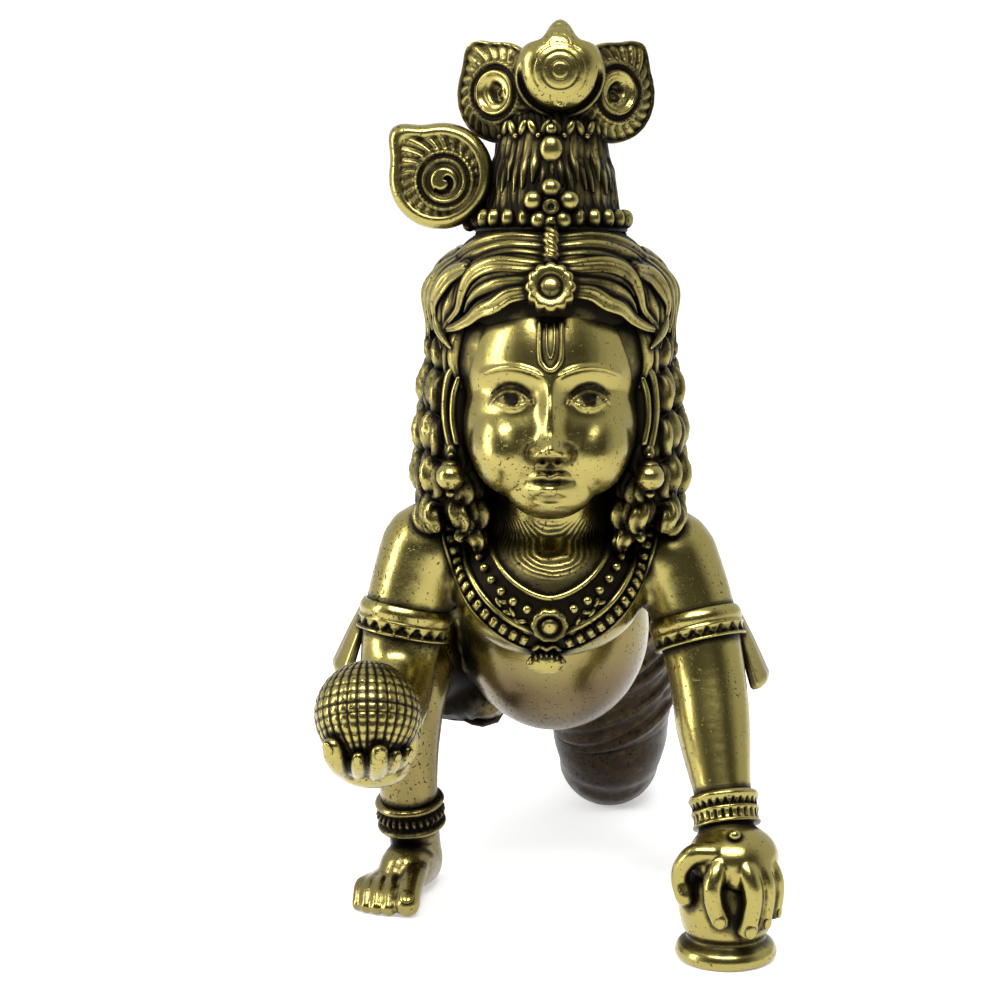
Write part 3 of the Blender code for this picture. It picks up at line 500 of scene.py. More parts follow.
def make_hair():
    """The hair's shell, the swept front locks, the curls at the sides and the waves behind."""
    form = Form()
    for centre, radii in (
        (HAIR_CENTRE, HAIR_RADII),
        (TOP_HAIR_CENTRE, TOP_HAIR_RADII),
        (FLARE_CENTRE, FLARE_RADII),
    ):
        add_ball(form, centre, radii, place=HEAD, sides=64)
    for side in (-1, 1):
        add_ball(form, (side * 11.4, 4.6, 65.5), (4.0, 6.8, 12.3), place=HEAD, sides=32)
    add_ball(form, (0, 12.5, 63.0), (12.4, 8.2, 14.5), sides=48)
    # Each lock: azimuths and elevations from the parting, half width, ridges, lift and tail.
    locks = (
        (
            ((4, 28.5), (10, 28), (19, 26.9), (26.5, 23.4), (34.4, 21.2), (42.8, 17), (50.6, 13.3), (57, 12)),
            1.35, 5, 1.2, 0.5,
        ),
        (((4, 31), (11.8, 31.3), (25, 30.5), (34.9, 28.1), (41.6, 24.6), (46.1, 20)), 1.15, 3, 1.1, 0.3),
        (
            ((4, 37), (10.8, 37.4), (24.9, 38.6), (34.9, 37.2), (42.4, 33.6), (46.7, 28), (50.7, 21.7),
             (56.8, 15.8)),
            1.5, 5, 1.3, 0.5,
        ),
        (((8, 34.3), (20, 34.6), (31, 33.2), (38, 30.4), (43, 26.4)), 0.85, 3, 1.3, 0.25),
        (
            ((3.5, 41.2), (17.9, 42.2), (29.7, 41), (41.6, 37), (50, 31), (54, 24), (58, 18)),
            1.05, 3, 1.1, 0.45,
        ),
        (((3.5, 44.6), (18.8, 45.7), (32.8, 45), (49, 41.6), (58, 35.5), (62, 27)), 1.1, 3, 1.2, 0.3),
        (((3.5, 48.4), (22, 49.3), (40, 48.4), (58, 45), (70, 40), (73, 31), (72, 22)), 1.2, 5, 1.0, 0.4),
        (((44.6, 37), (57.5, 35.2), (63.9, 28.8), (68.4, 21.5), (68.2, 14)), 1.9, 5, 1.5, 0.25),
        (((58, 41.5), (67, 37.5), (73.5, 30.5), (77, 21), (76, 11)), 1.5, 5, 1.2, 0.35),
        (((50, 35), (55, 29), (59, 22), (62, 15), (60, 9)), 1.2, 3, 1.0, 0.3),
        (((53, 31), (56.5, 24.5), (60, 18), (64, 12)), 0.9, 3, 0.8, 0.3),
        (((46, 31.5), (51, 26.5), (55, 20), (60, 14.5)), 0.8, 3, 0.6, 0.3),
        (((58, 33), (62, 26), (65.5, 18), (66, 10), (63, 3)), 1.2, 3, 0.9, 0.35),
        (((51, 14), (54, 6), (55.5, -3), (54, -11), (52, -17)), 1.1, 3, 0.3, 0.35),
        (((56, 9), (60, 1), (62, -8), (61, -16)), 1.1, 3, 0.3, 0.4),
        (((66, 44), (77, 39), (84, 29), (86, 17), (83, 4)), 1.6, 5, 1.0, 0.5),
        (((69, 19), (67, 13), (61, 8), (53, 3)), 1.0, 3, 1.3, 0.25),
        (((52, 20), (58, 16), (63, 9.5), (61, 3)), 0.9, 3, 0.9, 0.25),
        (((74, 48), (86, 45), (94, 36), (96, 22), (93, 6)), 1.8, 5, 0.9, 0.6),
        (((86, 50), (98, 48), (106, 38), (107, 22), (103, 4)), 1.8, 5, 0.9, 0.6),
        (((88, 40), (92, 28), (91, 14), (87, 0)), 1.3, 5, 1.4, 0.5),
        (((99, 42), (102, 28), (100, 14), (96, 0)), 1.3, 5, 1.4, 0.5),
    )
    # A thin strand down from the bun's beads: its spread, elevation, lift and radius at three places.
    strand = ((0.5, 57, 0.5, 0.4), (0.85, 53, 0.6, 0.42), (1.15, 48.5, 0.9, 0.32))
    # Each curl: its top and bottom, how wide it winds, its turns, its radius and where it starts.
    curls = (
        ((12.9, -0.6, 80.0), (15.2, -1.6, 55.5), 0.6, 4.6, 1.65, 0.0),
        ((14.0, 3.8, 79.0), (16.0, 2.2, 55.0), 0.7, 4.2, 1.9, 2.0),
        ((13.6, 8.6, 79.0), (15.6, 7.4, 55.0), 0.7, 4.2, 2.0, 4.0),
        ((12.4, -3.2, 66.5), (11.4, -2.6, 54.0), 0.5, 3.0, 1.2, 1.0),
        ((10.8, -1.8, 62.0), (9.4, -1.0, 52.5), 0.45, 2.4, 1.2, 2.6),
    )
    for side in (-1, 1):
        for number, (places, width, ridges, lift, tail) in enumerate(locks):
            # The two sides aren't quite each other's mirror image.
            sway = 0.6 * math.sin(number * 2.3 + side)
            placed = [
                (side * azimuth, elevation + sway * math.sin(azimuth / 18))
                for azimuth, elevation in places
            ]
            add_lock(form, placed, width, ridges, lift, tail)
        for azimuth in (6, 21, 38, 58, 80, 104, 130, 156):
            rows = [
                (*on_hair(side * azimuth * spread, elevation, lift), radius)
                for spread, elevation, lift, radius in strand
            ]
            add_rope(form, rows, 10, place=HEAD, steps=6)
        for curl in curls:
            add_curl(form, side, *curl)
    add_back_waves(form)
    return form


def make_bun():
    """The gathered strands of the bun, in two tiers, over its core."""
    form = Form()
    place = HEAD @ Matrix.Translation((0, BUN_Y, 0))
    base, neck = BUN_BASE_RADIUS, BUN_NECK_RADIUS

    def strand(angle, low, high, swing, radius, flare):
        rows = []
        for share in np.linspace(low, high, 6):
            out = base + (neck - base) * share**0.8 + flare * math.exp(-((share - low) / 0.16) ** 2)
            turn = angle + swing * math.sin(share * 6 + angle * 5)
            thick = radius * min(1.0, 0.4 + (share - low) / 0.1)
            rows.append((out * math.cos(turn), out * math.sin(turn), BUN_BASE_Z + BUN_HEIGHT * share, thick))
        add_rope(form, rows, 12, 3, 0.24, 0.4, place=place, steps=4)

    for index in range(46):
        angle = math.tau * (index + 0.5) / 46
        radius, flare = 0.78 + 0.14 * math.sin(index * 1.9), 0.1 + 0.2 * math.sin(index * 2.7)
        strand(angle, 0.0, 0.62, 0.04, radius, flare)
    for index in range(44):
        angle = math.tau * index / 44
        low, radius = 0.4 + 0.06 * math.sin(index * 2.3), 0.68 + 0.12 * math.sin(index * 1.3)
        strand(angle, low, 1.0, 0.03, radius, 0.75)
    profile = [
        (base + 0.8, BUN_BASE_Z - 3.5),
        (base + 0.3, BUN_BASE_Z - 1.0),
        (base + 0.1, BUN_BASE_Z + 1.0),
        (neck, BUN_BASE_Z + BUN_HEIGHT * 0.75),
        (neck - 0.5, BUN_TOP_Z),
        (0.01, BUN_TOP_Z),
    ]
    add_turned(form, profile, place, 64)
    return form


def feather_front(rim, outer, inner, comma):
    """The relief of a feather's eye: a rim, combed barbs, two rings, and a disc or a hollow amid them.

    An eye with a comma sits away from the feather's tip.
    """

    def front(x, z, r):
        z = z + 0.9 if comma else z
        far = np.hypot(x, z)
        angle = np.arctan2(x, z)
        border = min(1.0, max(0.0, (r - rim) / (1 - rim)))
        relief = 0.6 * math.sqrt(math.sin(math.pi * border) + 1e-9)
        barbs = np.clip((rim + 0.03 - r) * 14, 0, 1) * np.clip((far - outer - 0.3) * 2.5, 0, 1)
        relief = relief + barbs * 0.5 * (np.abs(np.sin(angle * 12 + far)) - 0.65)
        relief += ridge(far - outer, 0.34, 0.6) * (1 + 0.2 * np.sin(angle * 36))
        relief += ridge(far - (outer + inner) / 2, 0.25, -0.12) + ridge(far - inner, 0.4, 0.6)
        if comma:
            relief += 0.75 / (1 + np.exp((far - inner * 0.68) * 8))
            # A comma: a dark bay that curls in from the lower right.
            curl = far - 0.35 - 0.42 * ((angle - 1.2) % math.tau)
            relief -= ridge(curl, 0.3, 0.8) * (far < inner * 0.68) * ((angle - 1.2) % math.tau < 3.6)
        else:
            relief -= 1.1 / (1 + np.exp((np.hypot(x / 0.75, z) - inner * 0.5) * 7))
            relief += ridge(np.hypot(x - 0.3, z + 0.4) - inner * 0.28, 0.22, 0.35)
        return relief

    return front


def dome_front(x, z, r):
    """The front feather: a plump dome that runs up into the tip, hooded over a dark notch below."""
    far = np.hypot(x, z - 0.2)
    low = np.clip((np.abs(np.arctan2(x, z)) - 1.25) / 0.6, 0, 1)
    wide = 2.3 * np.sqrt(np.clip(1 - (far / 5.7) ** 2, 0, 1))
    hooded = 2.3 * np.sqrt(np.clip(1 - (far / 4.9) ** 2, 0, 1)) - ridge(r - 0.87, 0.04, 0.7)
    relief = wide * (1 - low) + hooded * low + low * 0.5 / (1 + np.exp((0.92 - r) * 50))
    stud = ridge(x, 0.45, 1.0) * np.exp(-(((z + 4.5) / 0.5) ** 2))
    notch = ridge(x, 1.0, 1.8) * np.exp(-(((z + 5.5) / 0.6) ** 2))
    relief += stud - notch
    for ring in (3.4, 2.3, 1.1):
        relief += ridge(far - ring, 0.12, -0.12)
    pits = np.sin(x * 7.1 + np.sin(z * 5.3) * 2) * np.sin(z * 6.7 + np.sin(x * 4.9) * 2)
    return relief - 0.22 * np.clip(pits - 0.25, 0, 1) * np.clip((z - 2.6) / 1.2, 0, 1)


def feather_place(place, at, turn, lean):
    """Turn is about the upright, and lean tips the feather in its own plane, both in degrees."""
    turned = Matrix.Rotation(math.radians(turn), 4, "Z") @ Matrix.Rotation(math.radians(lean), 4, "Y")
    return place @ Matrix.Translation(at) @ turned


def make_crown():
    """Three peacock feathers round the top of the bun, a fourth behind, and one beside it."""
    form = Form()
    top = HEAD @ Matrix.Translation((CROWN_X, BUN_Y, CROWN_Z))
    add_ball(form, (0, 0.4, -1.4), (7.6, 5.6, 4.2), place=top, sides=48)
    add_leaf(form, feather_place(top, FRONT_FEATHER_AT, 0, 0), *FRONT_FEATHER, dome_front)
    eye = feather_front(0.95, 3.9, 2.7, False)
    for side in (-1, 1):
        at = (side * CROWN_SIDE_AT[0], *CROWN_SIDE_AT[1:])
        place = feather_place(top, at, side * CROWN_SIDE_TURN, side * CROWN_SIDE_LEAN)
        add_leaf(form, place, *CROWN_FEATHER, eye)
        # The same feather's other side, which shows from behind.
        at = (side * (CROWN_SIDE_AT[0] - 1.4), 2.2, CROWN_SIDE_AT[2])
        add_leaf(form, feather_place(top, at, side * 145, side * -30), 6.0, 6.0, 1.0, 0.2, 0.0, eye, 28, 96)
    add_leaf(form, feather_place(top, CROWN_BACK_AT, 180, 0), *CROWN_FEATHER, eye, 30, 96)
    base = HEAD @ Matrix.Translation((0, BUN_Y, BUN_BASE_Z))
    eye = feather_front(0.74, 3.7, 2.7, True)
    add_leaf(form, feather_place(base, SIDE_FEATHER_AT, -8, SIDE_FEATHER_LEAN), *SIDE_FEATHER, eye)
    x, y, z = SIDE_FEATHER_AT
    for index in range(6):
        shift = index * 0.62
        stem = [
            (x + 3.6 + shift * 1.3, y + 1.4 + 0.3 * (index % 2), z - 6.3 + shift * 0.2, 0.85),
            (x + 5.2 + shift * 0.9, y + 1.6 + 0.5 * (index % 2), z - 2.8 - shift * 0.3, 0.75),
            (x + 5.6 + shift * 0.9, y + 2.0 + 0.4 * (index % 2), z + 1.6 - shift * 0.9, 0.6),
        ]
        add_rope(form, stem, 12, 3, 0.2, 0.5, place=base)
    return form


def add_bun_ring(form, place):
    """The beads round the foot of the bun, with a flower in front."""
    reach = BUN_BASE_RADIUS + 0.75
    for index in range(26):
        angle = math.tau * (index + 0.5) / 26 - math.pi / 2
        if abs(math.remainder(angle + math.pi / 2, math.tau)) < 0.36:
            continue
        centre = (reach * math.cos(angle), reach * math.sin(angle), BUN_BASE_Z + 2)
        add_ball(
            form, centre, (0.9, 0.95, 1.25), (0, 0, math.degrees(angle)), place, 16,
            lambda lon, lat: 0.12 * np.cos(4 * lon) * np.cos(lat),
        )
    ring = [
        (reach * math.cos(a), reach * math.sin(a), BUN_BASE_Z + 0.6, 0.3)
        for a in np.arange(60) * math.tau / 60
    ]
    add_rope(form, ring, 8, closed=True, place=place)
    for index in range(5):
        angle = math.tau * (index / 5 + 0.25)
        centre = (2.35 * math.cos(angle), BUN_FRONT_Y, BUN_BASE_Z + 3.5 + 2.25 * math.sin(angle))
        add_ball(form, centre, (1.3, 1.0, 1.3), place=place, sides=20)
    stud = [(1.1, -0.6), (1.15, 0.5), (0.85, 0.8), (0.5, 0.7), (0.35, 0.2)]
    add_turned(form, stud, place @ along((0, BUN_FRONT_Y - 0.3, BUN_BASE_Z + 3.4), (0, -1, 0)), 24)


def add_leaf_band(form, place):
    """The leaf band under the crown, with its drop in front."""
    for index in range(14):
        angle = math.tau * (index + 0.5) / 14 - math.pi / 2
        out = Matrix.Rotation(angle + math.pi / 2, 4, "Z")
        leaf = place @ out @ Matrix.Translation((0, -BUN_NECK_RADIUS - 0.9, BUN_TOP_Z - 1.4))
        for lean in (-28, 28):
            add_ball(form, (0.03 * lean, 0, 0), (0.62, 0.55, 1.25), (0, lean, 0), leaf, 16)
        add_ball(form, (0, -0.4, -1.0), 0.42, place=leaf, sides=12)
    add_ball(form, (0, -BUN_NECK_RADIUS - 1.5, BUN_TOP_Z - 4.2), (1.5, 1.0, 1.9), place=place, sides=24)
    add_ball(form, (0, -BUN_NECK_RADIUS - 1.6, BUN_TOP_Z - 1.6), (0.75, 0.6, 0.8), place=place, sides=14)


def add_parting_jewel(form, place):
    """The rosette over the parting and the knotted bar above it."""
    rosette = HEAD @ along(on_hair(0, 27, 2.7), (0, -0.97, 0.22))
    profile = [
        (3.1, -2.5), (3.1, 0.0), (2.9, 0.45), (2.4, 0.55), (1.9, 0.4),
        (1.65, 0.35), (1.5, 0.1), (1.35, 0.1), (1.2, 0.45), (0.6, 0.62),
    ]
    add_turned(form, profile, rosette, 96, 12, 0.13)
    bar = [(0, BUN_FRONT_Y - 0.6, BUN_BASE_Z + 1.6, 0.75)]
    for elevation, radius in ((53, 0.95), (50, 0.8), (46.5, 1.05), (43, 0.85), (39.5, 1.05), (37, 0.8)):
        bar.append((*(on_hair(0, elevation, 1.5) - [0, BUN_Y, 0]), radius))
    add_rope(form, bar, 24, 3, 0.2, 3.0, place=place)


def add_brow_mark(form, face):
    """Two loops: half the width, the lowest place over the eyes and the radius."""
    for half, low, radius in ((1.35, 3.9, 0.4), (0.5, 5.4, 0.2)):
        low += eye_place()[1]
        side_places = [(half, 82.0), (half, low + 1.8), (half * 0.6, low + 0.5)]
        mark = []
        for x, z in [(-x, z) for x, z in side_places] + [(0, low)] + side_places[::-1]:
            hit = front_hit(face, x, z)[0]
            mark.append((hit.x, hit.y - 0.05, hit.z, radius))
        add_rope(form, mark, 10, place=HEAD)


def add_ear(form, side):
    """The ear's two ridges, its lobe and the earring's drop."""
    rim = (
        (12.0, -4.8, 76.6, 0.5), (13.1, -4.3, 75.2, 0.55), (13.6, -4.0, 72.0, 0.6),
        (13.4, -4.1, 68.4, 0.6), (12.7, -4.7, 65.4, 0.65),
    )
    fold = (
        (11.9, -5.2, 74.8, 0.4), (12.5, -5.0, 72.6, 0.46),
        (12.6, -5.0, 69.4, 0.46), (12.1, -5.4, 66.6, 0.45),
    )
    for rows in (rim, fold):
        add_rope(form, [(side * x, y, z, r) for x, y, z, r in rows], 12, place=HEAD)
    add_ball(form, (side * 12.0, -3.6, 70.6), (1.4, 1.3, 5.6), place=HEAD, sides=24)
    add_ball(form, (side * 12.7, -4.5, 65.4), (0.9, 1.0, 1.3), place=HEAD, sides=20)
    drop = HEAD @ Matrix.Translation((side * 12.9, -6.0, 62.2))
    add_turned(form, [(0.5, 2.1), (1.05, 1.75), (1.2, 1.35), (0.8, 1.1)], drop, 20)
    add_ball(
        form, (0, 0, 0), 1.85, place=drop, sides=40,
        relief=lambda lon, lat: ridge(np.abs(lat) - 0.22, 0.07, 0.12),
    )
    add_ball(form, (0, 0, -2.2), (0.6, 0.6, 0.55), place=drop, sides=12)
    add_ball(form, (-side * 0.1, 0.6, 2.6), (0.5, 0.5, 0.6), place=drop, sides=12)


def make_head_jewels(face):
    """All that the head wears, and its ears."""
    form = Form()
    place = HEAD @ Matrix.Translation((0, BUN_Y, 0))
    add_bun_ring(form, place)
    add_leaf_band(form, place)
    add_parting_jewel(form, place)
    add_brow_mark(form, face)
    for side in (-1, 1):
        add_ear(form, side)
    return form


def make_skin():
    """The bare body and limbs."""
    form = Form()
    add_ball(form, (0, 9, 49), (15.0, 11.5, 10.5), sides=40)
    add_ball(form, (0, 1.5, 46.5), (12.6, 9.0, 9.0), sides=40)
    add_ball(form, (0.6, 19, 37.2), (13.2, 14.0, 14.6), sides=48)
    add_ball(form, (0, 31, 39), (12.6, 12.0, 11.8), sides=40)
    for side in (-1, 1):
        add_ball(form, (side * 6.6, 44, 34.5), (9.6, 11.0, 11.0), sides=40)
        add_ball(form, (side * 15.6, 6.5, 50.6 - side * 0.5), (6.6, 7.0, 6.4), sides=32)
    add_limb(form, [(0, 8, 50, 9.0), (0, 4, 58, 7.4), (0, 2.5, 66, 7.4)], 28)
    for path in (RIGHT_ARM, LEFT_ARM, RIGHT_LEG, LEFT_LEG, LEFT_SHIN):
        add_limb(form, path, 28)
    return fuse(form, 0.6, 16)


def make_feet():
    """The planted right foot, and the left foot that trails with its sole turned up."""
    form = Form()
    add_limb(form, [(-18.9, 15.8, 9.5, 3.6), (-18.7, 17.0, 6.0, 3.6), (-18.4, 18.0, 3.5, 3.6)])
    sole = [(-18.4, 18.0, 3.3, 3.6), (-19.8, 12.5, 4.2, 3.7), (-20.9, 10.6, 3.0, 3.2), (-21.6, 9.8, 2.2, 2.8)]
    add_limb(form, sole)
    add_ball(form, (-21.5, 11.6, 2.0), (4.0, 4.2, 2.5), sides=24)
    add_limb(form, [(8.4, 76, 4.6, 3.8), (8.2, 80, 4.6, 3.8), (7.8, 85.5, 3.6, 3.7), (7.4, 89.0, 2.6, 2.6)])
    soft = fused(form, 0.3, 16)
    # Each toe: how far aside of the big toe, its radius and how far back its tip is.
    toes = ((0.0, 1.85, 0.0), (2.5, 1.2, 0.2), (4.15, 1.12, 0.7), (5.6, 1.05, 1.4), (6.8, 0.95, 2.4))
    for aside, radius, back in toes:
        x, y = -19.3 - aside, 3.0 + back
        add_limb(soft, [
            (x + 1.4, 12.0, 4.8 - 0.3 * aside, radius * 0.8),
            (x + 0.7, 8.8 + 0.3 * back, 4.1 - 0.16 * aside, radius * 0.94),
            (x + 0.2, y + 2.6, 2.9, radius * 0.94),
            (x, y + 0.7, radius * 0.98, radius * 0.96),
        ])
        x, y = 10.3 - aside * 0.85, 93.0 - back * 0.8
        add_limb(soft, [
            (x + 0.1, 86.6, 3.0, radius * 0.8),
            (x - 0.1, y - 2.2, 1.7, radius * 0.78),
            (x - 0.3, y, radius * 0.8, radius * 0.84),
        ])
    made = fused(soft, 0.26, 2)
    # The big toe's nail.
    add_ball(made, (-19.3, 2.75, 3.15), (1.0, 1.1, 0.32), (38, 0, 0), sides=16)
    return made


def ball_studs(lon, lat):
    """Rows of small square studs, as a net of grooves over the butter ball."""
    rows = np.abs(np.sin(lat * 16)) ** 0.3
    columns = np.abs(np.sin(lon * 16)) ** 0.3
    fade = np.clip((1.35 - np.abs(lat)) * 4, 0, 1)
    return 0.26 * (rows * columns * fade - fade + 0.15)


def make_ball():
    form = Form()
    add_ball(form, BALL_AT, BALL_RADIUS, (-30, 0, 3), sides=256, relief=ball_studs)
    return form


def make_right_hand():
    """The palm under the butter ball, with its fingers curled up the ball's front."""
    x, y, z = BALL_AT
    form = Form()
    add_limb(form, [(-21.4, -9.0, 30.6, 4.2), (-22.0, -14.0, 29.6, 3.7), (-22.4, -18.0, 29.0, 3.6)])
    add_ball(form, (x + 0.3, y + 3.4, z - BALL_RADIUS - 0.9), (4.9, 5.6, 2.6), sides=32)
    hand = fused(form, 0.3, 12)
    reach = BALL_RADIUS + 0.6
    # Each finger: how far aside at its root and tip, the tip's rise round the ball, and its radius.
    fingers = (
        (-3.0, -4.1, -24, 1.5), (-1.1, -0.8, -31, 1.05), (1.0, 1.75, -24, 1.3),
        (2.6, 3.7, -36, 0.95), (3.7, 5.2, -44, 0.8),
    )
    nails = []
    for root, tip, top, radius in fingers:
        rows = []
        for share, swell in ((0.0, 1.1), (0.3, 1.02), (0.6, 0.98), (0.85, 1.06), (1.0, 0.86)):
            aside = root + (tip - root) * share**1.5
            e = math.radians(-100 + (top + 100) * share)
            ring = math.sqrt(reach**2 - aside**2)
            rows.append((x + aside, y - ring * math.cos(e), z + ring * math.sin(e), radius * swell))
        add_rope(hand, rows, 20, flat=0.9, centre=BALL_AT)
        out = unit(np.array(rows[-1][:3]) - BALL_AT)
        nails.append((np.array(rows[-1][:3]) + out * radius * 0.66, out, radius))
    made = fused(hand, 0.2, 2)
    for spot, out, radius in nails:
        radii = (radius * 0.55, radius * 0.75, radius * 0.2)
        add_ball(made, (0, 0, 0), radii, place=along(spot, out), sides=16)
    return made


def make_left_hand():
    """The hand that leans on the upturned pot, its fingers and thumb draped over the pot."""
    x, y = POT_AT
    form = Form()
    add_limb(form, [(22.8, -7.0, 21.5, 3.8), (23.2, -9.0, 17.8, 3.5), (23.4, -10.8, 15.2, 4.4)])
    add_ball(form, (x + 0.8, y - 0.8, POT_HEIGHT + 0.6), (6.0, 5.8, 4.4), sides=32)
    add_ball(form, (x + 1.6, y - 3.0, POT_HEIGHT - 0.4), (4.6, 3.8, 3.0), sides=32)
    hand = fused(form, 0.3, 14)
    # Each finger: its turn from the front, its tip's height, radius and sideways sway.
    fingers = ((-9, 0.55, 1.3, -9), (20, 0.45, 1.4, 5), (39, 0.5, 1.2, 4), (58, 0.56, 1.1, 3))
    tip_reach = 6.95
    for turn, low, radius, sway in fingers:
        rows = []
        bends = ((1.12, 4.4, 1.0), (1.0, 6.2, 1.05), (0.86, 7.1, 1.0), (0.7, 7.25, 0.92))
        for share, out, swell in (*bends, (low, tip_reach, 0.98)):
            a = math.radians(turn + sway * math.sin((share - low) * 5))
            rows.append((x + out * math.sin(a), y - out * math.cos(a), POT_HEIGHT * share, radius * swell))
        add_rope(hand, rows, 20)
    thumb = [
        (x - 2.0, y - 4.4, POT_HEIGHT + 2.2, 1.5),
        (x - 4.4, y - 4.2, POT_HEIGHT + 2.0, 1.4),
        (x - 5.9, y - 3.6, POT_HEIGHT + 0.2, 1.3),
        (x - 6.2, y - 3.4, POT_HEIGHT * 0.86, 1.25),
        (x - 5.6, y - 4.0, POT_HEIGHT * 0.72, 1.35),
    ]
    add_rope(hand, thumb, 20)
    made = fused(hand, 0.22, 2)
    for turn, low, radius, _ in fingers:
        a = math.radians(turn)
        reach = tip_reach + radius * 0.86
        spot = (x + reach * math.sin(a), y - reach * math.cos(a), POT_HEIGHT * low + 0.1)
        add_ball(made, spot, (radius * 0.58, radius * 0.22, radius * 0.75), (0, 0, turn), sides=14)
    return made


def make_pot():
    form = Form()
    x, y = POT_AT
    profile = [
        (POT_RIM_RADIUS - 1.6, 0.02),
        (POT_RIM_RADIUS - 0.5, 0.05),
        (POT_RIM_RADIUS + 0.05, 0.7),
        (POT_RIM_RADIUS + 0.05, 1.4),
        (POT_RIM_RADIUS - 0.3, POT_RIM_HEIGHT - 0.7),
        (POT_RIM_RADIUS - 0.9, POT_RIM_HEIGHT - 0.3),
        (POT_NECK_RADIUS, POT_RIM_HEIGHT + 0.1),
        (POT_NECK_RADIUS, POT_RIM_HEIGHT + 0.6),
        (POT_RADIUS - 0.5, POT_RIM_HEIGHT + 1.6),
        (POT_RADIUS, POT_HEIGHT * 0.5),
        (POT_RADIUS, POT_HEIGHT * 0.65),
        (POT_RADIUS - 0.6, POT_HEIGHT * 0.8),
        (POT_RADIUS - 2.0, POT_HEIGHT * 0.95),
        (POT_RADIUS - 3.6, POT_HEIGHT + 0.4),
    ]
    rows = smooth_rows(profile, 3).tolist()
    add_turned(form, rows, Matrix.Translation((x, y, 0)), 96)
    return form


def at_height(path, z):
    """The point and direction of a limb's path at a height."""
    rows = smooth_rows(path)
    for start, end in zip(rows, rows[1:]):
        if (start[2] - z) * (end[2] - z) <= 0 and start[2] != end[2]:
            share = (start[2] - z) / (start[2] - end[2])
            return start[:3] + (end[:3] - start[:3]) * share, unit(start[:3] - end[:3])
    raise ValueError(f"the path has no point at height {z}")


def ring_on(skin, centre, normal, reach, turns):
    """Places on the skin round a limb, and the ways out from it, in the plane through a centre."""
    axes = np.array(along(centre, normal))[:3, :3]
    centre = np.asarray(centre, float)
    spots, ways = [], []
    for angle in np.arange(turns) * math.tau / turns:
        out = axes @ np.array([math.cos(angle), math.sin(angle), 0])
        hit = skin.ray_cast(Vector(centre + out * reach), Vector(-out))[0]
        spots.append(np.array(hit) if hit else centre + out * 2)
        ways.append(out)
    spots, ways = np.array(spots), np.array(ways)
    far = np.sum((spots - centre) * ways, 1)
    for _ in range(3):
        far = (np.roll(far, 1) + 2 * far + np.roll(far, -1)) / 4
    return centre + ways * far[:, None], ways


def add_band(form, skin, centre, normal, reach, height, profile, turns=208, levels=26):
    """A bangle round a limb. profile(v, angle) is how far it stands off the skin, v from 0 at its lower
    edge to 1 at its upper one."""
    normal = unit(np.asarray(normal, float))
    spots, ways = ring_on(skin, centre, normal, reach, turns)
    angle = np.arange(turns) * math.tau / turns
    rows = []
    for v in np.linspace(0, 1, levels):
        lift = (profile(v, angle) * np.ones(turns))[:, None]
        rows.append(spots + normal * (v - 0.5) * height + ways * lift)
    rows.append(spots + normal * 0.5 * height - ways * 0.6)
    rows.append(spots - normal * 0.5 * height - ways * 0.6)
    grid = np.stack(rows, 1).reshape(-1, 3)
    faces = tube_faces(turns, len(rows), closed=True)
    form.add(grid, faces)


def rails(v, *places):
    """Thin rounded rails at some levels of a band."""
    return sum(ridge(v - place, 0.07, 0.35) for place in places)


def armband_profile(v, angle):
    """A plain swelling over a border of triangles."""
    teeth = np.abs(((angle * 19 / math.tau) % 1) * 2 - 1)
    cut = (teeth < 1 - (v - 0.08) / 0.3) * 0.55 if 0.08 < v < 0.38 else 0
    plain = 0.5 + 0.35 * math.sin(math.pi * min(1, (v - 0.46) / 0.54)) if v > 0.46 else 0.6
    return plain + rails(v, 0.03, 0.43) * 0.6 - cut


def bangle_profile(v, angle):
    """A smooth rail, a row of triangles, bars and a lower edge."""
    bars = np.abs(((angle * 26 / math.tau) % 1) * 2 - 1)
    cut = (bars > 0.72) * 0.5 * (0.14 < v < 0.4)
    teeth = (bars < 1 - (v - 0.52) / 0.24) * 0.5 * (0.52 < v < 0.74)
    return 0.7 + rails(v, 0.05, 0.46) * 0.7 + ridge(v - 0.88, 0.13, 0.4) - cut - teeth


def anklet_profile(v, angle):
    """A row of beads between rails."""
    beads = np.abs(np.cos(angle * 15)) ** 0.6
    bead = (beads * 0.9 - 0.3) * np.exp(-(((v - 0.48) / 0.15) ** 2))
    lift = 0.5 + bead + ridge(v - 0.88, 0.12, 0.6) + ridge(v - 0.1, 0.11, 0.55)
    return lift - ridge(v - 0.26, 0.05, 0.25) - ridge(v - 0.7, 0.05, 0.25)


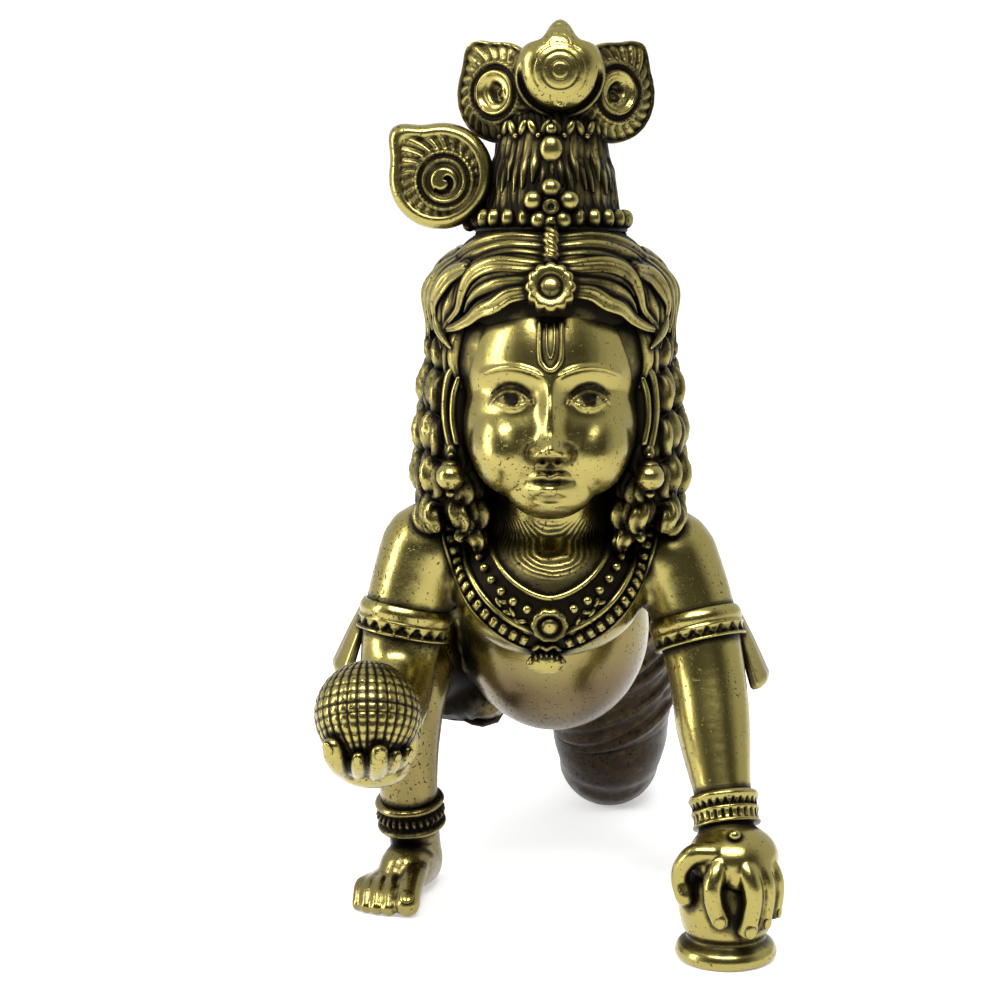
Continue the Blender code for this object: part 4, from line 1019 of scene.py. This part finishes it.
def make_bands(skin):
    """Armbands with their hanging ends, the bangles and the anklets."""
    form = Form()
    for side, path, drop, spread in ((-1, RIGHT_ARM, 7.2, 3.3), (1, LEFT_ARM, 7.3, 3.2)):
        centre, normal = at_height(path, ARMBAND_Z - 1.2 - 0.4 * side)
        add_band(form, skin, centre, normal, 7.4, 4.0, armband_profile)
        out = unit(np.array([side * 1.0, 0.2, 0]))
        top = centre + out * 5.4
        flap = [
            (*(top + [0, 0, 1.2]), 1.4),
            (*(top + out * spread * 0.5 + [0, 0, -0.4 * drop]), 2.1),
            (*(top + out * spread + [0, 0, -drop]), 2.7),
        ]
        add_rope(form, flap, 32, 7, 0.06, flat=0.4, centre=centre + [0, 3.6, 0], steps=10)
    wrist, normal = at_height(LEFT_ARM, 19.1)
    add_band(form, skin, wrist, normal, 6.0, 4.2, bangle_profile)
    add_ball(form, (wrist[0] + 0.9, wrist[1] - 6.9, wrist[2] - 1.2), 0.8, sides=20)
    start, end = np.array(RIGHT_ARM[-2][:3]), np.array(RIGHT_ARM[-1][:3])
    add_band(form, skin, start + (end - start) * 0.35, end - start, 6.5, 4.4, bangle_profile)
    ankle, normal = at_height(RIGHT_LEG, 11.6)
    add_band(form, skin, ankle, normal, 6.5, 4.4, anklet_profile)
    start, end = np.array(LEFT_SHIN[-3][:3]), np.array(LEFT_SHIN[-2][:3])
    add_band(form, skin, start + (end - start) * 0.9, end - start, 6.5, 4.6, anklet_profile)
    return form


def strand_on(skin, half_width, bottom_z, lift):
    """Places and ways out of a strand that hangs over the chest from shoulder to shoulder."""
    spots, ways = [], []
    for share in np.linspace(-1, 1, 60):
        x = half_width * math.sin(share * math.pi / 2)
        z = bottom_z + (COLLAR_TOP_Z - bottom_z) * abs(share) ** COLLAR_CURVE
        hit, normal = front_hit(skin, x, z)
        if hit:
            spots.append(np.array(hit + normal * lift))
            ways.append(np.array(normal))
    return np.array(spots), np.array(ways)


def spaced(spots, ways, pitch):
    """Points every pitch along a strand, with the strand's direction there."""
    steps = np.linalg.norm(np.diff(spots, axis=0), axis=1)
    far = np.append(0, np.cumsum(steps))
    count = int(far[-1] / pitch)
    found = []
    for at in (np.arange(count) + 0.5) * far[-1] / count:
        spot = np.array([np.interp(at, far, spots[:, i]) for i in range(3)])
        way = np.array([np.interp(at, far, ways[:, i]) for i in range(3)])
        ahead = np.array([np.interp(at + 0.3, far, spots[:, i]) for i in range(3)])
        found.append((spot, unit(way), unit(ahead - spot)))
    return found


def facing(spot, way, ahead):
    """A placement whose Z is the way out of the skin and X the way along the strand."""
    x = unit(ahead - way * (ahead @ way))
    matrix = Matrix.Identity(4)
    for row, values in enumerate(zip(x, np.cross(way, x), way, spot)):
        matrix[row] = values
    return matrix


def make_necklaces(skin):
    """Two wide collars: each a rail and a row of beads, with a rosette and a lotus cup."""
    form = Form()
    for edge, radius in ((INNER_COLLAR, 0.42), (MIDDLE_COLLAR, 0.45), (OUTER_COLLAR, 0.3)):
        spots, ways = strand_on(skin, *edge, radius * 0.5)
        add_rope(form, np.column_stack([spots, np.full(len(spots), radius)]), 12, steps=2)
    spots, ways = strand_on(skin, 10.5, 45.4, 0.45)
    for spot, way, ahead in spaced(spots, ways, 2.05):
        if abs(spot[0]) < 2.4:
            continue
        add_ball(form, (0, 0, 0), (0.66, 0.66, 0.7), place=facing(spot, way, ahead), sides=16)
    spots, ways = strand_on(skin, 13.5, 41.0, 0.3)
    for spot, way, ahead in spaced(spots, ways, 1.5):
        if abs(spot[0]) < 2.2:
            continue
        add_ball(
            form, (0, 0, 0), (0.6, 0.85, 0.65), (0, 0, 0), facing(spot, way, ahead), 16,
            lambda lon, lat: 0.16 * np.abs(np.sin(2 * lon)) * np.cos(lat),
        )
    hit, way = front_hit(skin, 0, 44.0)
    profile = [
        (2.45, -1.5), (2.45, 0.5), (2.2, 0.95), (1.75, 0.95), (1.5, 0.35),
        (1.2, 0.35), (1.1, 1.0), (0.6, 1.25), (0.2, 1.25),
    ]
    add_turned(form, profile, along(hit, way), 60, 10, 0.1)
    # The leafy filling below the rosette, on both sides.
    for side in (-1, 1):
        for index in range(7):
            x = side * (3.0 + 0.6 * index)
            z = 42.9 + 0.62 * index + 0.75 * (index % 2)
            hit, way = front_hit(skin, x, z)
            leaf = facing(np.array(hit), np.array(way), np.array([1.0, 0, 0.6 * side]))
            add_ball(form, (0, 0, 0.1), (0.85, 0.4, 0.4), (0, 0, 40 * math.sin(index * 1.7)), leaf, 14)
    cup = facing(np.array([-0.4, -4.6, 37.9]), np.array([0, -0.97, -0.24]), np.array([1.0, 0, 0]))
    add_ball(form, (0, 0.4, -2.2), (2.1, 1.4, 2.3), place=cup, sides=24)
    add_ball(
        form, (0, 0.2, 0.1), (2.6, 1.45, 0.95), place=cup, sides=40,
        relief=lambda lon, lat: 0.1 * np.abs(np.cos(5 * lon)) * np.cos(lat),
    )
    for index in range(-3, 4):
        add_ball(form, (index * 0.68, 1.55 - 0.09 * index**2, 0.35), (0.3, 0.55, 0.5), place=cup, sides=12)
    for side in (-1, 1):
        bow = [(0, 2.6, 0.5, 0.45), (side * 0.9, 3.0, 0.4, 0.4), (side * 1.6, 2.4, 0.3, 0.35)]
        add_rope(form, bow, 10, place=cup)
    return form


def add_thigh_folds(folds, cloth):
    """Folds of uneven width across each thigh."""

    def fold(centre, normal, reach, radius, turns=72):
        spots, ways = ring_on(cloth, centre, normal, reach, turns)
        wave = radius * (1 + 0.25 * np.sin(np.arange(turns) * math.tau / turns * 2 + radius * 9))
        add_rope(folds, np.column_stack([spots - ways * radius * 0.35, wave]), 12, closed=True)

    # The folds across each thigh: how far from hip to knee, and the radius.
    left_folds = (
        (-0.05, 0.8), (0.06, 0.55), (0.17, 1.0), (0.27, 0.5), (0.36, 0.8),
        (0.48, 1.0), (0.58, 0.5), (0.68, 0.85), (0.8, 0.6), (0.9, 0.9),
    )
    right_folds = (
        (0.02, 0.9), (0.12, 0.55), (0.22, 0.95), (0.32, 0.5), (0.42, 1.0),
        (0.52, 0.6), (0.62, 0.9), (0.72, 0.55), (0.82, 0.9), (0.93, 0.7),
    )
    hip, knee = np.array([7.4, 45, 33]), np.array([9.2, 53, 14])
    for share, radius in left_folds:
        fold(hip + (knee - hip) * share, (0.55, 0.25 + 0.2 * share, -1), 24, radius)
    hip, knee = np.array([-7.5, 43, 34]), np.array([-17.0, 19.5, 33.4])
    for share, radius in right_folds:
        fold(hip + (knee - hip) * share, (-0.3, -1, -0.5 + 0.4 * share), 22, radius)


def add_gathers(folds, cloth):
    """Gathers that sweep from the small of the back outwards over the seat."""
    for side in (-1, 1):
        centre = np.array([side * 5.2, 43.0, 34.4])
        for index in range(7):
            rows = []
            for share in np.linspace(0, 1, 9):
                rise = 62 - 17 * index - 16 * share + 8 * math.sin(share * math.pi)
                out = way_out(side * (172 - 82 * share), rise)
                hit = cloth.ray_cast(Vector(centre + out * 26), Vector(-out))[0]
                radius = 0.35 + 0.4 * math.sin(math.pi * (0.1 + 0.8 * share))
                rows.append((*(np.array(hit) - out * 0.25), radius))
            add_rope(folds, rows, 12, steps=4)


def add_falls(folds):
    """The pleated fall behind, and the drape inside the raised thigh."""
    for index in range(6):
        x = -3.8 + 1.5 * index
        rows = [
            (x, 50.0, 42.5, 0.9),
            (x, 55.6, 36, 1.1),
            (x + 0.3, 56.4, 28.5, 1.15),
            (x + 0.5, 54.2, 21.5, 1.1),
        ]
        add_rope(folds, rows, 16)
    for index in range(5):
        x = -16.8 + 1.7 * index
        top = 20.4 + 0.35 * abs(index - 2) ** 2
        rows = [
            (x - 0.5, top + 1.2, 32.5, 0.55),
            (x, top - 0.4, 28.5, 0.7),
            (x + 0.4, top + 0.6, 24.6, 0.65),
            (x + 0.8, top + 4.0, 22.3, 0.5),
        ]
        add_rope(folds, rows, 12)


def add_girdle(made, waist, skin):
    """A row of beads between two cords, each with its place and slope."""
    girdle = ((34.2, 36.6, 0.5, False), (36.2, 36.4, 0.46, True), (38.2, 36.2, 0.42, False))
    for y, z, slope, beaded in girdle:
        spots = []
        centre = np.array([0, y, z])
        axes = np.array(along(centre, (0, 1, -slope)))[:3, :3]
        for angle in np.arange(100) * math.tau / 100:
            out = axes @ np.array([math.cos(angle), math.sin(angle), 0])
            hits = [tree.ray_cast(Vector(centre + out * 26), Vector(-out))[0] for tree in (waist, skin)]
            far = max(((np.array(hit) - centre) @ out for hit in hits if hit), default=10.0)
            spots.append(centre + out * (far + 0.15))
        if beaded:
            for spot in spots[::3]:
                add_ball(made, spot, 0.85, sides=12)
        else:
            add_rope(made, np.column_stack([spots, np.full(100, 0.9)]), 12, closed=True)


def make_dhoti(skin):
    """The cloth round hips and thighs: a girdle, folds of uneven width and a pleated fall behind."""
    form = Form()
    for side in (-1, 1):
        add_ball(form, (side * 6.6, 44.3, 34.4), (10.0, 11.0, 11.4), sides=40)
    add_rope(form, [(x, y, z, r + 0.35) for x, y, z, r in RIGHT_LEG[:3]], 28)
    add_rope(form, [(x, y, z, r + 0.35) for x, y, z, r in LEFT_LEG[:2]] + [(9.0, 52.2, 16.5, 9.3)], 28)
    add_ball(form, (-10.5, 31, 28), (4.8, 10.0, 7.0), (12, 0, 18), sides=32)
    add_ball(form, (-13.8, 26, 27.6), (4.2, 6.5, 5.6), sides=32)
    base, quads = fuse(form, 0.45, 14)
    cloth = tree_of(base, quads)
    folds = Form()
    folds.add(base, quads.tolist())
    add_thigh_folds(folds, cloth)
    add_gathers(folds, cloth)
    add_falls(folds)
    made = fused(folds, 0.42, 2)
    add_girdle(made, tree_of(*fuse(form, 0.6, 4)), skin)
    return made


def hollowness(tree, points, ways, radii):
    """How much each place is closed in: 0 where a ball of each radius fits against it, 1 where none does."""
    total = np.zeros(len(points))
    for radius, weight in radii:
        probes = points + ways * radius
        found = [tree.find_nearest(Vector(probe), radius)[3] for probe in probes]
        gaps = np.array([radius if gap is None else gap for gap in found])
        total += weight * np.clip(1 - gaps / radius, 0, 1)
    return total


def add_values(mesh, name, values):
    attribute = mesh.attributes.new(name, "FLOAT", "POINT")
    attribute.data.foreach_set("value", values.astype(np.float32))


def averaged(values, edges, rounds):
    """Values evened out along the edges."""
    count = np.bincount(edges.ravel(), minlength=len(values))
    for _ in range(rounds):
        total = np.bincount(edges[:, 0], values[edges[:, 1]], len(values))
        total += np.bincount(edges[:, 1], values[edges[:, 0]], len(values))
        values = 0.5 * values + 0.5 * total / np.maximum(count, 1)
    return values


def strand_height(x, half_width, bottom_z):
    """The height at which a hanging strand crosses each x, and the top's height beyond its ends."""
    share = np.arcsin(np.clip(np.abs(x) / half_width, 0, 1)) * 2 / math.pi
    return bottom_z + (COLLAR_TOP_Z - bottom_z) * share**COLLAR_CURVE


def chest_marks(points):
    """Where the collars' dark ground lies on the body, with painted shade along the inner collar's upper
    edge, and where the hatched patch above it lies.
    """
    x, y, z = points.T
    inner, outer = strand_height(x, *INNER_COLLAR), strand_height(x, *OUTER_COLLAR)
    front = np.clip((5.0 - y) / 3, 0, 1) * (np.abs(x) < 14)
    ground = front * np.clip((z - outer + 0.3) / 0.6, 0, 1) * np.clip((inner - z + 0.3) / 0.6, 0, 1)
    within = (z > inner) * (np.abs(x) < INNER_COLLAR[0])
    # Painted shade: the chest darkens just above the inner collar and fades upwards.
    shade = front * within * np.exp(-np.clip(z - inner - 1.2, 0, 9) / 1.6)
    patch = front * np.clip(z - inner - 2.0, 0, 1) * np.clip(57.0 - z, 0, 1) * (np.abs(x) < 7.5)
    return 0.6 * ground + 0.38 * shade, patch


def make_brass():
    """Antiqued brass: polished high points over dark oxide and painted shade, with a little pitting and a
    painted floor reflection under the body.
    """
    brass = bpy.data.materials.new("antique_brass")
    brass.use_nodes = True
    tree = brass.node_tree

    def feed(made, inputs):
        """Links or sets the inputs of a node, by name or number."""
        for name, value in inputs.items():
            if isinstance(value, bpy.types.NodeSocket):
                tree.links.new(value, made.inputs[name])
            else:
                made.inputs[name].default_value = value

    def node(kind, inputs, **values):
        made = tree.nodes.new(kind)
        for name, value in values.items():
            setattr(made, name, value)
        feed(made, inputs)
        return made

    def math_node(operation, *inputs):
        return node("ShaderNodeMath", dict(enumerate(inputs)), operation=operation).outputs[0]

    def noise(scale, detail=3.0, rough=0.5):
        inputs = {"Vector": place, "Scale": scale, "Detail": detail, "Roughness": rough}
        return node("ShaderNodeTexNoise", inputs).outputs["Fac"]

    def attribute(name):
        return node("ShaderNodeAttribute", {}, attribute_name=name).outputs["Fac"]

    place = node("ShaderNodeTexCoord", {}).outputs["Object"]
    broad, fine, pits = noise(70.0), noise(700.0, 4.0, 0.6), noise(2300.0, 2.0)
    # Fine rings about a point before the throat, which the hatched patch of the chest keeps.
    throat = (0.0, -0.040, 0.060)
    from_throat = node("ShaderNodeVectorMath", {0: place, 1: throat}, operation="SUBTRACT").outputs["Vector"]
    inputs = {"Vector": from_throat, "Scale": 640.0, "Distortion": 7.0, "Detail Scale": 0.3}
    waves = node("ShaderNodeTexWave", inputs, wave_type="RINGS", rings_direction="SPHERICAL")
    whorl = math_node("MULTIPLY", waves.outputs["Fac"], attribute("whorl"))
    # Small pits that hold oxide, thicker where the noise runs high.
    uneven = math_node("ADD", pits, math_node("MULTIPLY", broad, 0.3))
    pitting = math_node("MULTIPLY", math_node("GREATER_THAN", uneven, 0.81), 0.24)
    # Noise dirt, oxide in the hollows and the painted shade carried with it all darken the ramp.
    dirt_and_shade = math_node("MULTIPLY_ADD", broad, 0.26, math_node("MULTIPLY_ADD", fine, 0.3, attribute("oxide_and_shade")))
    dirt_and_shade = math_node("ADD", dirt_and_shade, math_node("MULTIPLY_ADD", whorl, 0.3, pitting))
    ramp = node("ShaderNodeValToRGB", {"Fac": dirt_and_shade})
    ramp.color_ramp.elements.new(0.52)
    stops = (
        (0.34, (0.285, 0.24, 0.074, 1)),
        (0.52, (0.078, 0.064, 0.023, 1)),
        (0.78, (0.01, 0.008, 0.005, 1)),
    )
    for element, (position, colour) in zip(ramp.color_ramp.elements, stops):
        element.position = position
        element.color = colour
    # A painted floor reflection: the undersides' colour is multiplied darker and less yellow.
    inputs = {"Factor": attribute("floor_reflection_tint"), "A": ramp.outputs["Color"], "B": (0.4, 0.345, 0.56, 1)}
    reflection_tinted = node("ShaderNodeMix", inputs, data_type="RGBA", blend_type="MULTIPLY")
    inputs = {"Value": dirt_and_shade, "From Min": 0.35, "From Max": 0.9, "To Min": 0.25, "To Max": 0.62}
    rough = node("ShaderNodeMapRange", inputs)
    height = math_node("ADD", broad, math_node("MULTIPLY", fine, 0.7))
    sunk = math_node("MULTIPLY_ADD", pitting, 1.4, math_node("MULTIPLY", whorl, 0.8))
    height = math_node("SUBTRACT", height, sunk)
    bump = node("ShaderNodeBump", {"Strength": 0.3, "Distance": 0.0002, "Height": height})
    feed(tree.nodes["Principled BSDF"], {
        "Metallic": 1.0,
        "Base Color": reflection_tinted.outputs["Result"],
        "Roughness": rough.outputs["Result"],
        "Normal": bump.outputs["Normal"],
    })
    return brass


def make_studio():
    """An even white room with a darker side behind the camera, for the brass to reflect."""
    world = bpy.data.worlds.new("studio")
    world.use_nodes = True
    nodes, links = world.node_tree.nodes, world.node_tree.links
    way = nodes.new("ShaderNodeTexCoord")
    front = nodes.new("ShaderNodeVectorMath")
    front.operation = "DOT_PRODUCT"
    front.inputs[1].default_value = (0.0, -0.97, 0.24)
    links.new(way.outputs["Generated"], front.inputs[0])
    level = nodes.new("ShaderNodeMapRange")
    level.interpolation_type = "SMOOTHSTEP"
    level.inputs["From Min"].default_value = 0.1
    level.inputs["From Max"].default_value = 0.72
    level.inputs["To Min"].default_value = 1.0
    level.inputs["To Max"].default_value = 0.05
    links.new(front.outputs["Value"], level.inputs["Value"])
    links.new(level.outputs["Result"], nodes["Background"].inputs["Strength"])
    nodes["Background"].inputs["Color"].default_value = (1, 1, 1, 1)
    bpy.context.scene.world = world


def add_light(name, place, size, power):
    """A soft box that looks at the figure. Its size is its width and height."""
    light = bpy.data.lights.new(name, "AREA")
    light.shape = "RECTANGLE"
    light.size, light.size_y = size
    light.energy = power
    obj = add_object(name, light)
    obj.location = place
    obj.rotation_euler = (Vector(LIGHT_AIM) - Vector(place)).to_track_quat("-Z", "Y").to_euler()


def make_floor():
    """A pale paper floor that lights itself a little, so that it stays white."""
    floor = bpy.data.meshes.new("floor")
    floor.from_pydata([(-2, -2, 0), (2, -2, 0), (2, 3, 0), (-2, 3, 0)], [], [(0, 1, 2, 3)])
    paper = bpy.data.materials.new("paper")
    paper.use_nodes = True
    white = paper.node_tree.nodes["Principled BSDF"]
    white.inputs["Base Color"].default_value = (0.85, 0.85, 0.85, 1)
    white.inputs["Roughness"].default_value = 0.9
    white.inputs["Emission Color"].default_value = (1, 1, 1, 1)
    white.inputs["Emission Strength"].default_value = 0.42
    floor.materials.append(paper)
    add_object("floor", floor)


def make_camera(scale, shift):
    """The camera at the photograph's viewing angle."""
    camera = bpy.data.cameras.new("camera")
    camera.lens = LENS
    camera.sensor_width = SENSOR_WIDTH
    view = add_object("camera", camera)
    view.location = Vector(np.array(CAMERA_AT) * scale + shift)
    aim = Vector(np.array(CAMERA_AIM) * scale + shift)
    view.rotation_euler = (aim - view.location).to_track_quat("-Z", "Y").to_euler()
    bpy.context.scene.camera = view


def make_pieces():
    """Every piece's points and faces, in parts."""
    head_points, head_quads = make_head()
    head = Form()
    head.add(head_points, head_quads.tolist(), HEAD)
    skin_points, skin_quads = make_skin()
    skin = tree_of(skin_points, skin_quads)
    body = Form()
    body.add(skin_points, skin_quads.tolist())
    return {
        "head": head,
        "hair": make_hair(),
        "bun": make_bun(),
        "feather_crown": make_crown(),
        "head_jewels": make_head_jewels(tree_of(head_points, head_quads)),
        "body": body,
        "feet": make_feet(),
        "butter_ball": make_ball(),
        "right_hand": make_right_hand(),
        "left_hand": make_left_hand(),
        "pot": make_pot(),
        "bands": make_bands(skin),
        "necklaces": make_necklaces(skin),
        "dhoti": make_dhoti(skin),
    }


def oxide_and_shade_of(name, spots, oxide_and_shade):
    """How much dark oxide each place of a piece keeps, from how closed in it is, and the painted shade added
    at some places.
    """
    x, y, z = spots.T
    if name == "body":
        # The collars' dark ground, and the painted shade above the inner collar.
        oxide_and_shade = np.maximum(oxide_and_shade, chest_marks(spots)[0])
    if name == "head":
        # The irises are dark.
        upright = np.array(HEAD.inverted())
        aside, _, high = (spots @ upright[:3, :3].T + upright[:3, 3]).T
        eye_x, eye_z = eye_place()
        oxide_and_shade += 0.5 * (np.hypot(np.abs(aside) - eye_x, high - eye_z - 0.1) < 0.85) * (y < -6)
    if name in ("hair", "bun"):
        oxide_and_shade = oxide_and_shade * 1.15 + 0.02
    if name == "butter_ball":
        depth = BALL_RADIUS - np.linalg.norm(spots - BALL_AT, axis=1)
        oxide_and_shade += 0.5 * np.clip((depth - 0.03) / 0.12, 0, 1)
    if name == "dhoti":
        # Painted shade: the drape inside the raised thigh lies in deep shade and is darkened for it.
        oxide_and_shade += 0.5 * np.clip((-8 - x) / 4, 0, 1) * np.clip((34 - z) / 4, 0, 1) * (y < 36)
    if name in ("dhoti", "body"):
        # The kneeling thigh is darker towards its bottom and back.
        oxide_and_shade += 0.24 * np.clip((36 - z) / 8, 0, 1) * np.clip((y - 32) / 8, 0, 1)
    return oxide_and_shade


def floor_reflection_tint_of(spots):
    """The low places under the body, which get a painted reflection of the pale floor: darker and less
    yellow.
    """
    x, y, z = spots.T
    low = np.clip((44 - z) / 12, 0, 1) * np.clip((y - 1) / 6, 0, 1)
    low *= 0.55 + 0.45 * np.clip((x + 12) / 6, 0, 1)
    return low * (0.4 + 0.6 * np.clip((76 - y) / 20, 0, 1))


def add_piece(name, form, tree, scale, shift, brass):
    """A piece's object, with the values by which its material knows hollows and painted shade, the painted
    floor reflection under the body, and hatched places.
    """
    spots = form.all_points()
    mesh = bpy.data.meshes.new(name)
    mesh.from_pydata(spots.tolist(), [], form.faces)
    mesh.update()
    mesh.polygons.foreach_set("use_smooth", np.ones(len(mesh.polygons), bool))
    ways = np.empty(len(mesh.vertices) * 3)
    mesh.vertex_normals.foreach_get("vector", ways)
    edges = np.empty(len(mesh.edges) * 2, int)
    mesh.edges.foreach_get("vertices", edges)
    oxide_and_shade = hollowness(tree, spots, ways.reshape(-1, 3), ((0.35, 0.45), (0.9, 0.45), (2.2, 0.4)))
    add_values(mesh, "whorl", chest_marks(spots)[1] if name == "body" else np.zeros(len(spots)))
    add_values(mesh, "floor_reflection_tint", floor_reflection_tint_of(spots))
    add_values(mesh, "oxide_and_shade", averaged(oxide_and_shade_of(name, spots, oxide_and_shade), edges.reshape(-1, 2), 2))
    mesh.vertices.foreach_set("co", (spots * scale + shift).ravel().astype(np.float32))
    mesh.update()
    mesh.materials.append(brass)
    obj = add_object(name, mesh)
    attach(obj, "root")
    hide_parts("krishna_idol")


def main():
    forms = make_pieces()
    everything = Form()
    for form in forms.values():
        for points in form.points:
            points[:, 2] = np.maximum(points[:, 2], LOWEST_Z)
        everything.add(form.all_points(), form.faces)
    points = everything.all_points()
    low, high = points.min(0), points.max(0)
    # The parts are scaled to the figure's height and centred on the solid.
    scale = FIGURE_HEIGHT / high[2]
    aside, ahead = ((CAD_LOW[i] + CAD_HIGH[i]) / 2 - (low[i] + high[i]) / 2 * scale for i in (0, 1))
    shift = np.array([aside, ahead, 0.0])
    tree = BVHTree.FromPolygons(points.tolist(), everything.faces)
    brass = make_brass()
    for name, form in forms.items():
        add_piece(name, form, tree, scale, shift, brass)
    make_floor()
    make_studio()
    add_light("key", (-0.05, -0.38, 0.6), (0.5, 0.2), 7)
    add_light("left", (-0.6, -0.15, 0.25), (0.12, 0.5), 3)
    bpy.context.scene.view_settings.view_transform = "Standard"
    make_camera(scale, shift)

    bpy.context.view_layer.update()


main()
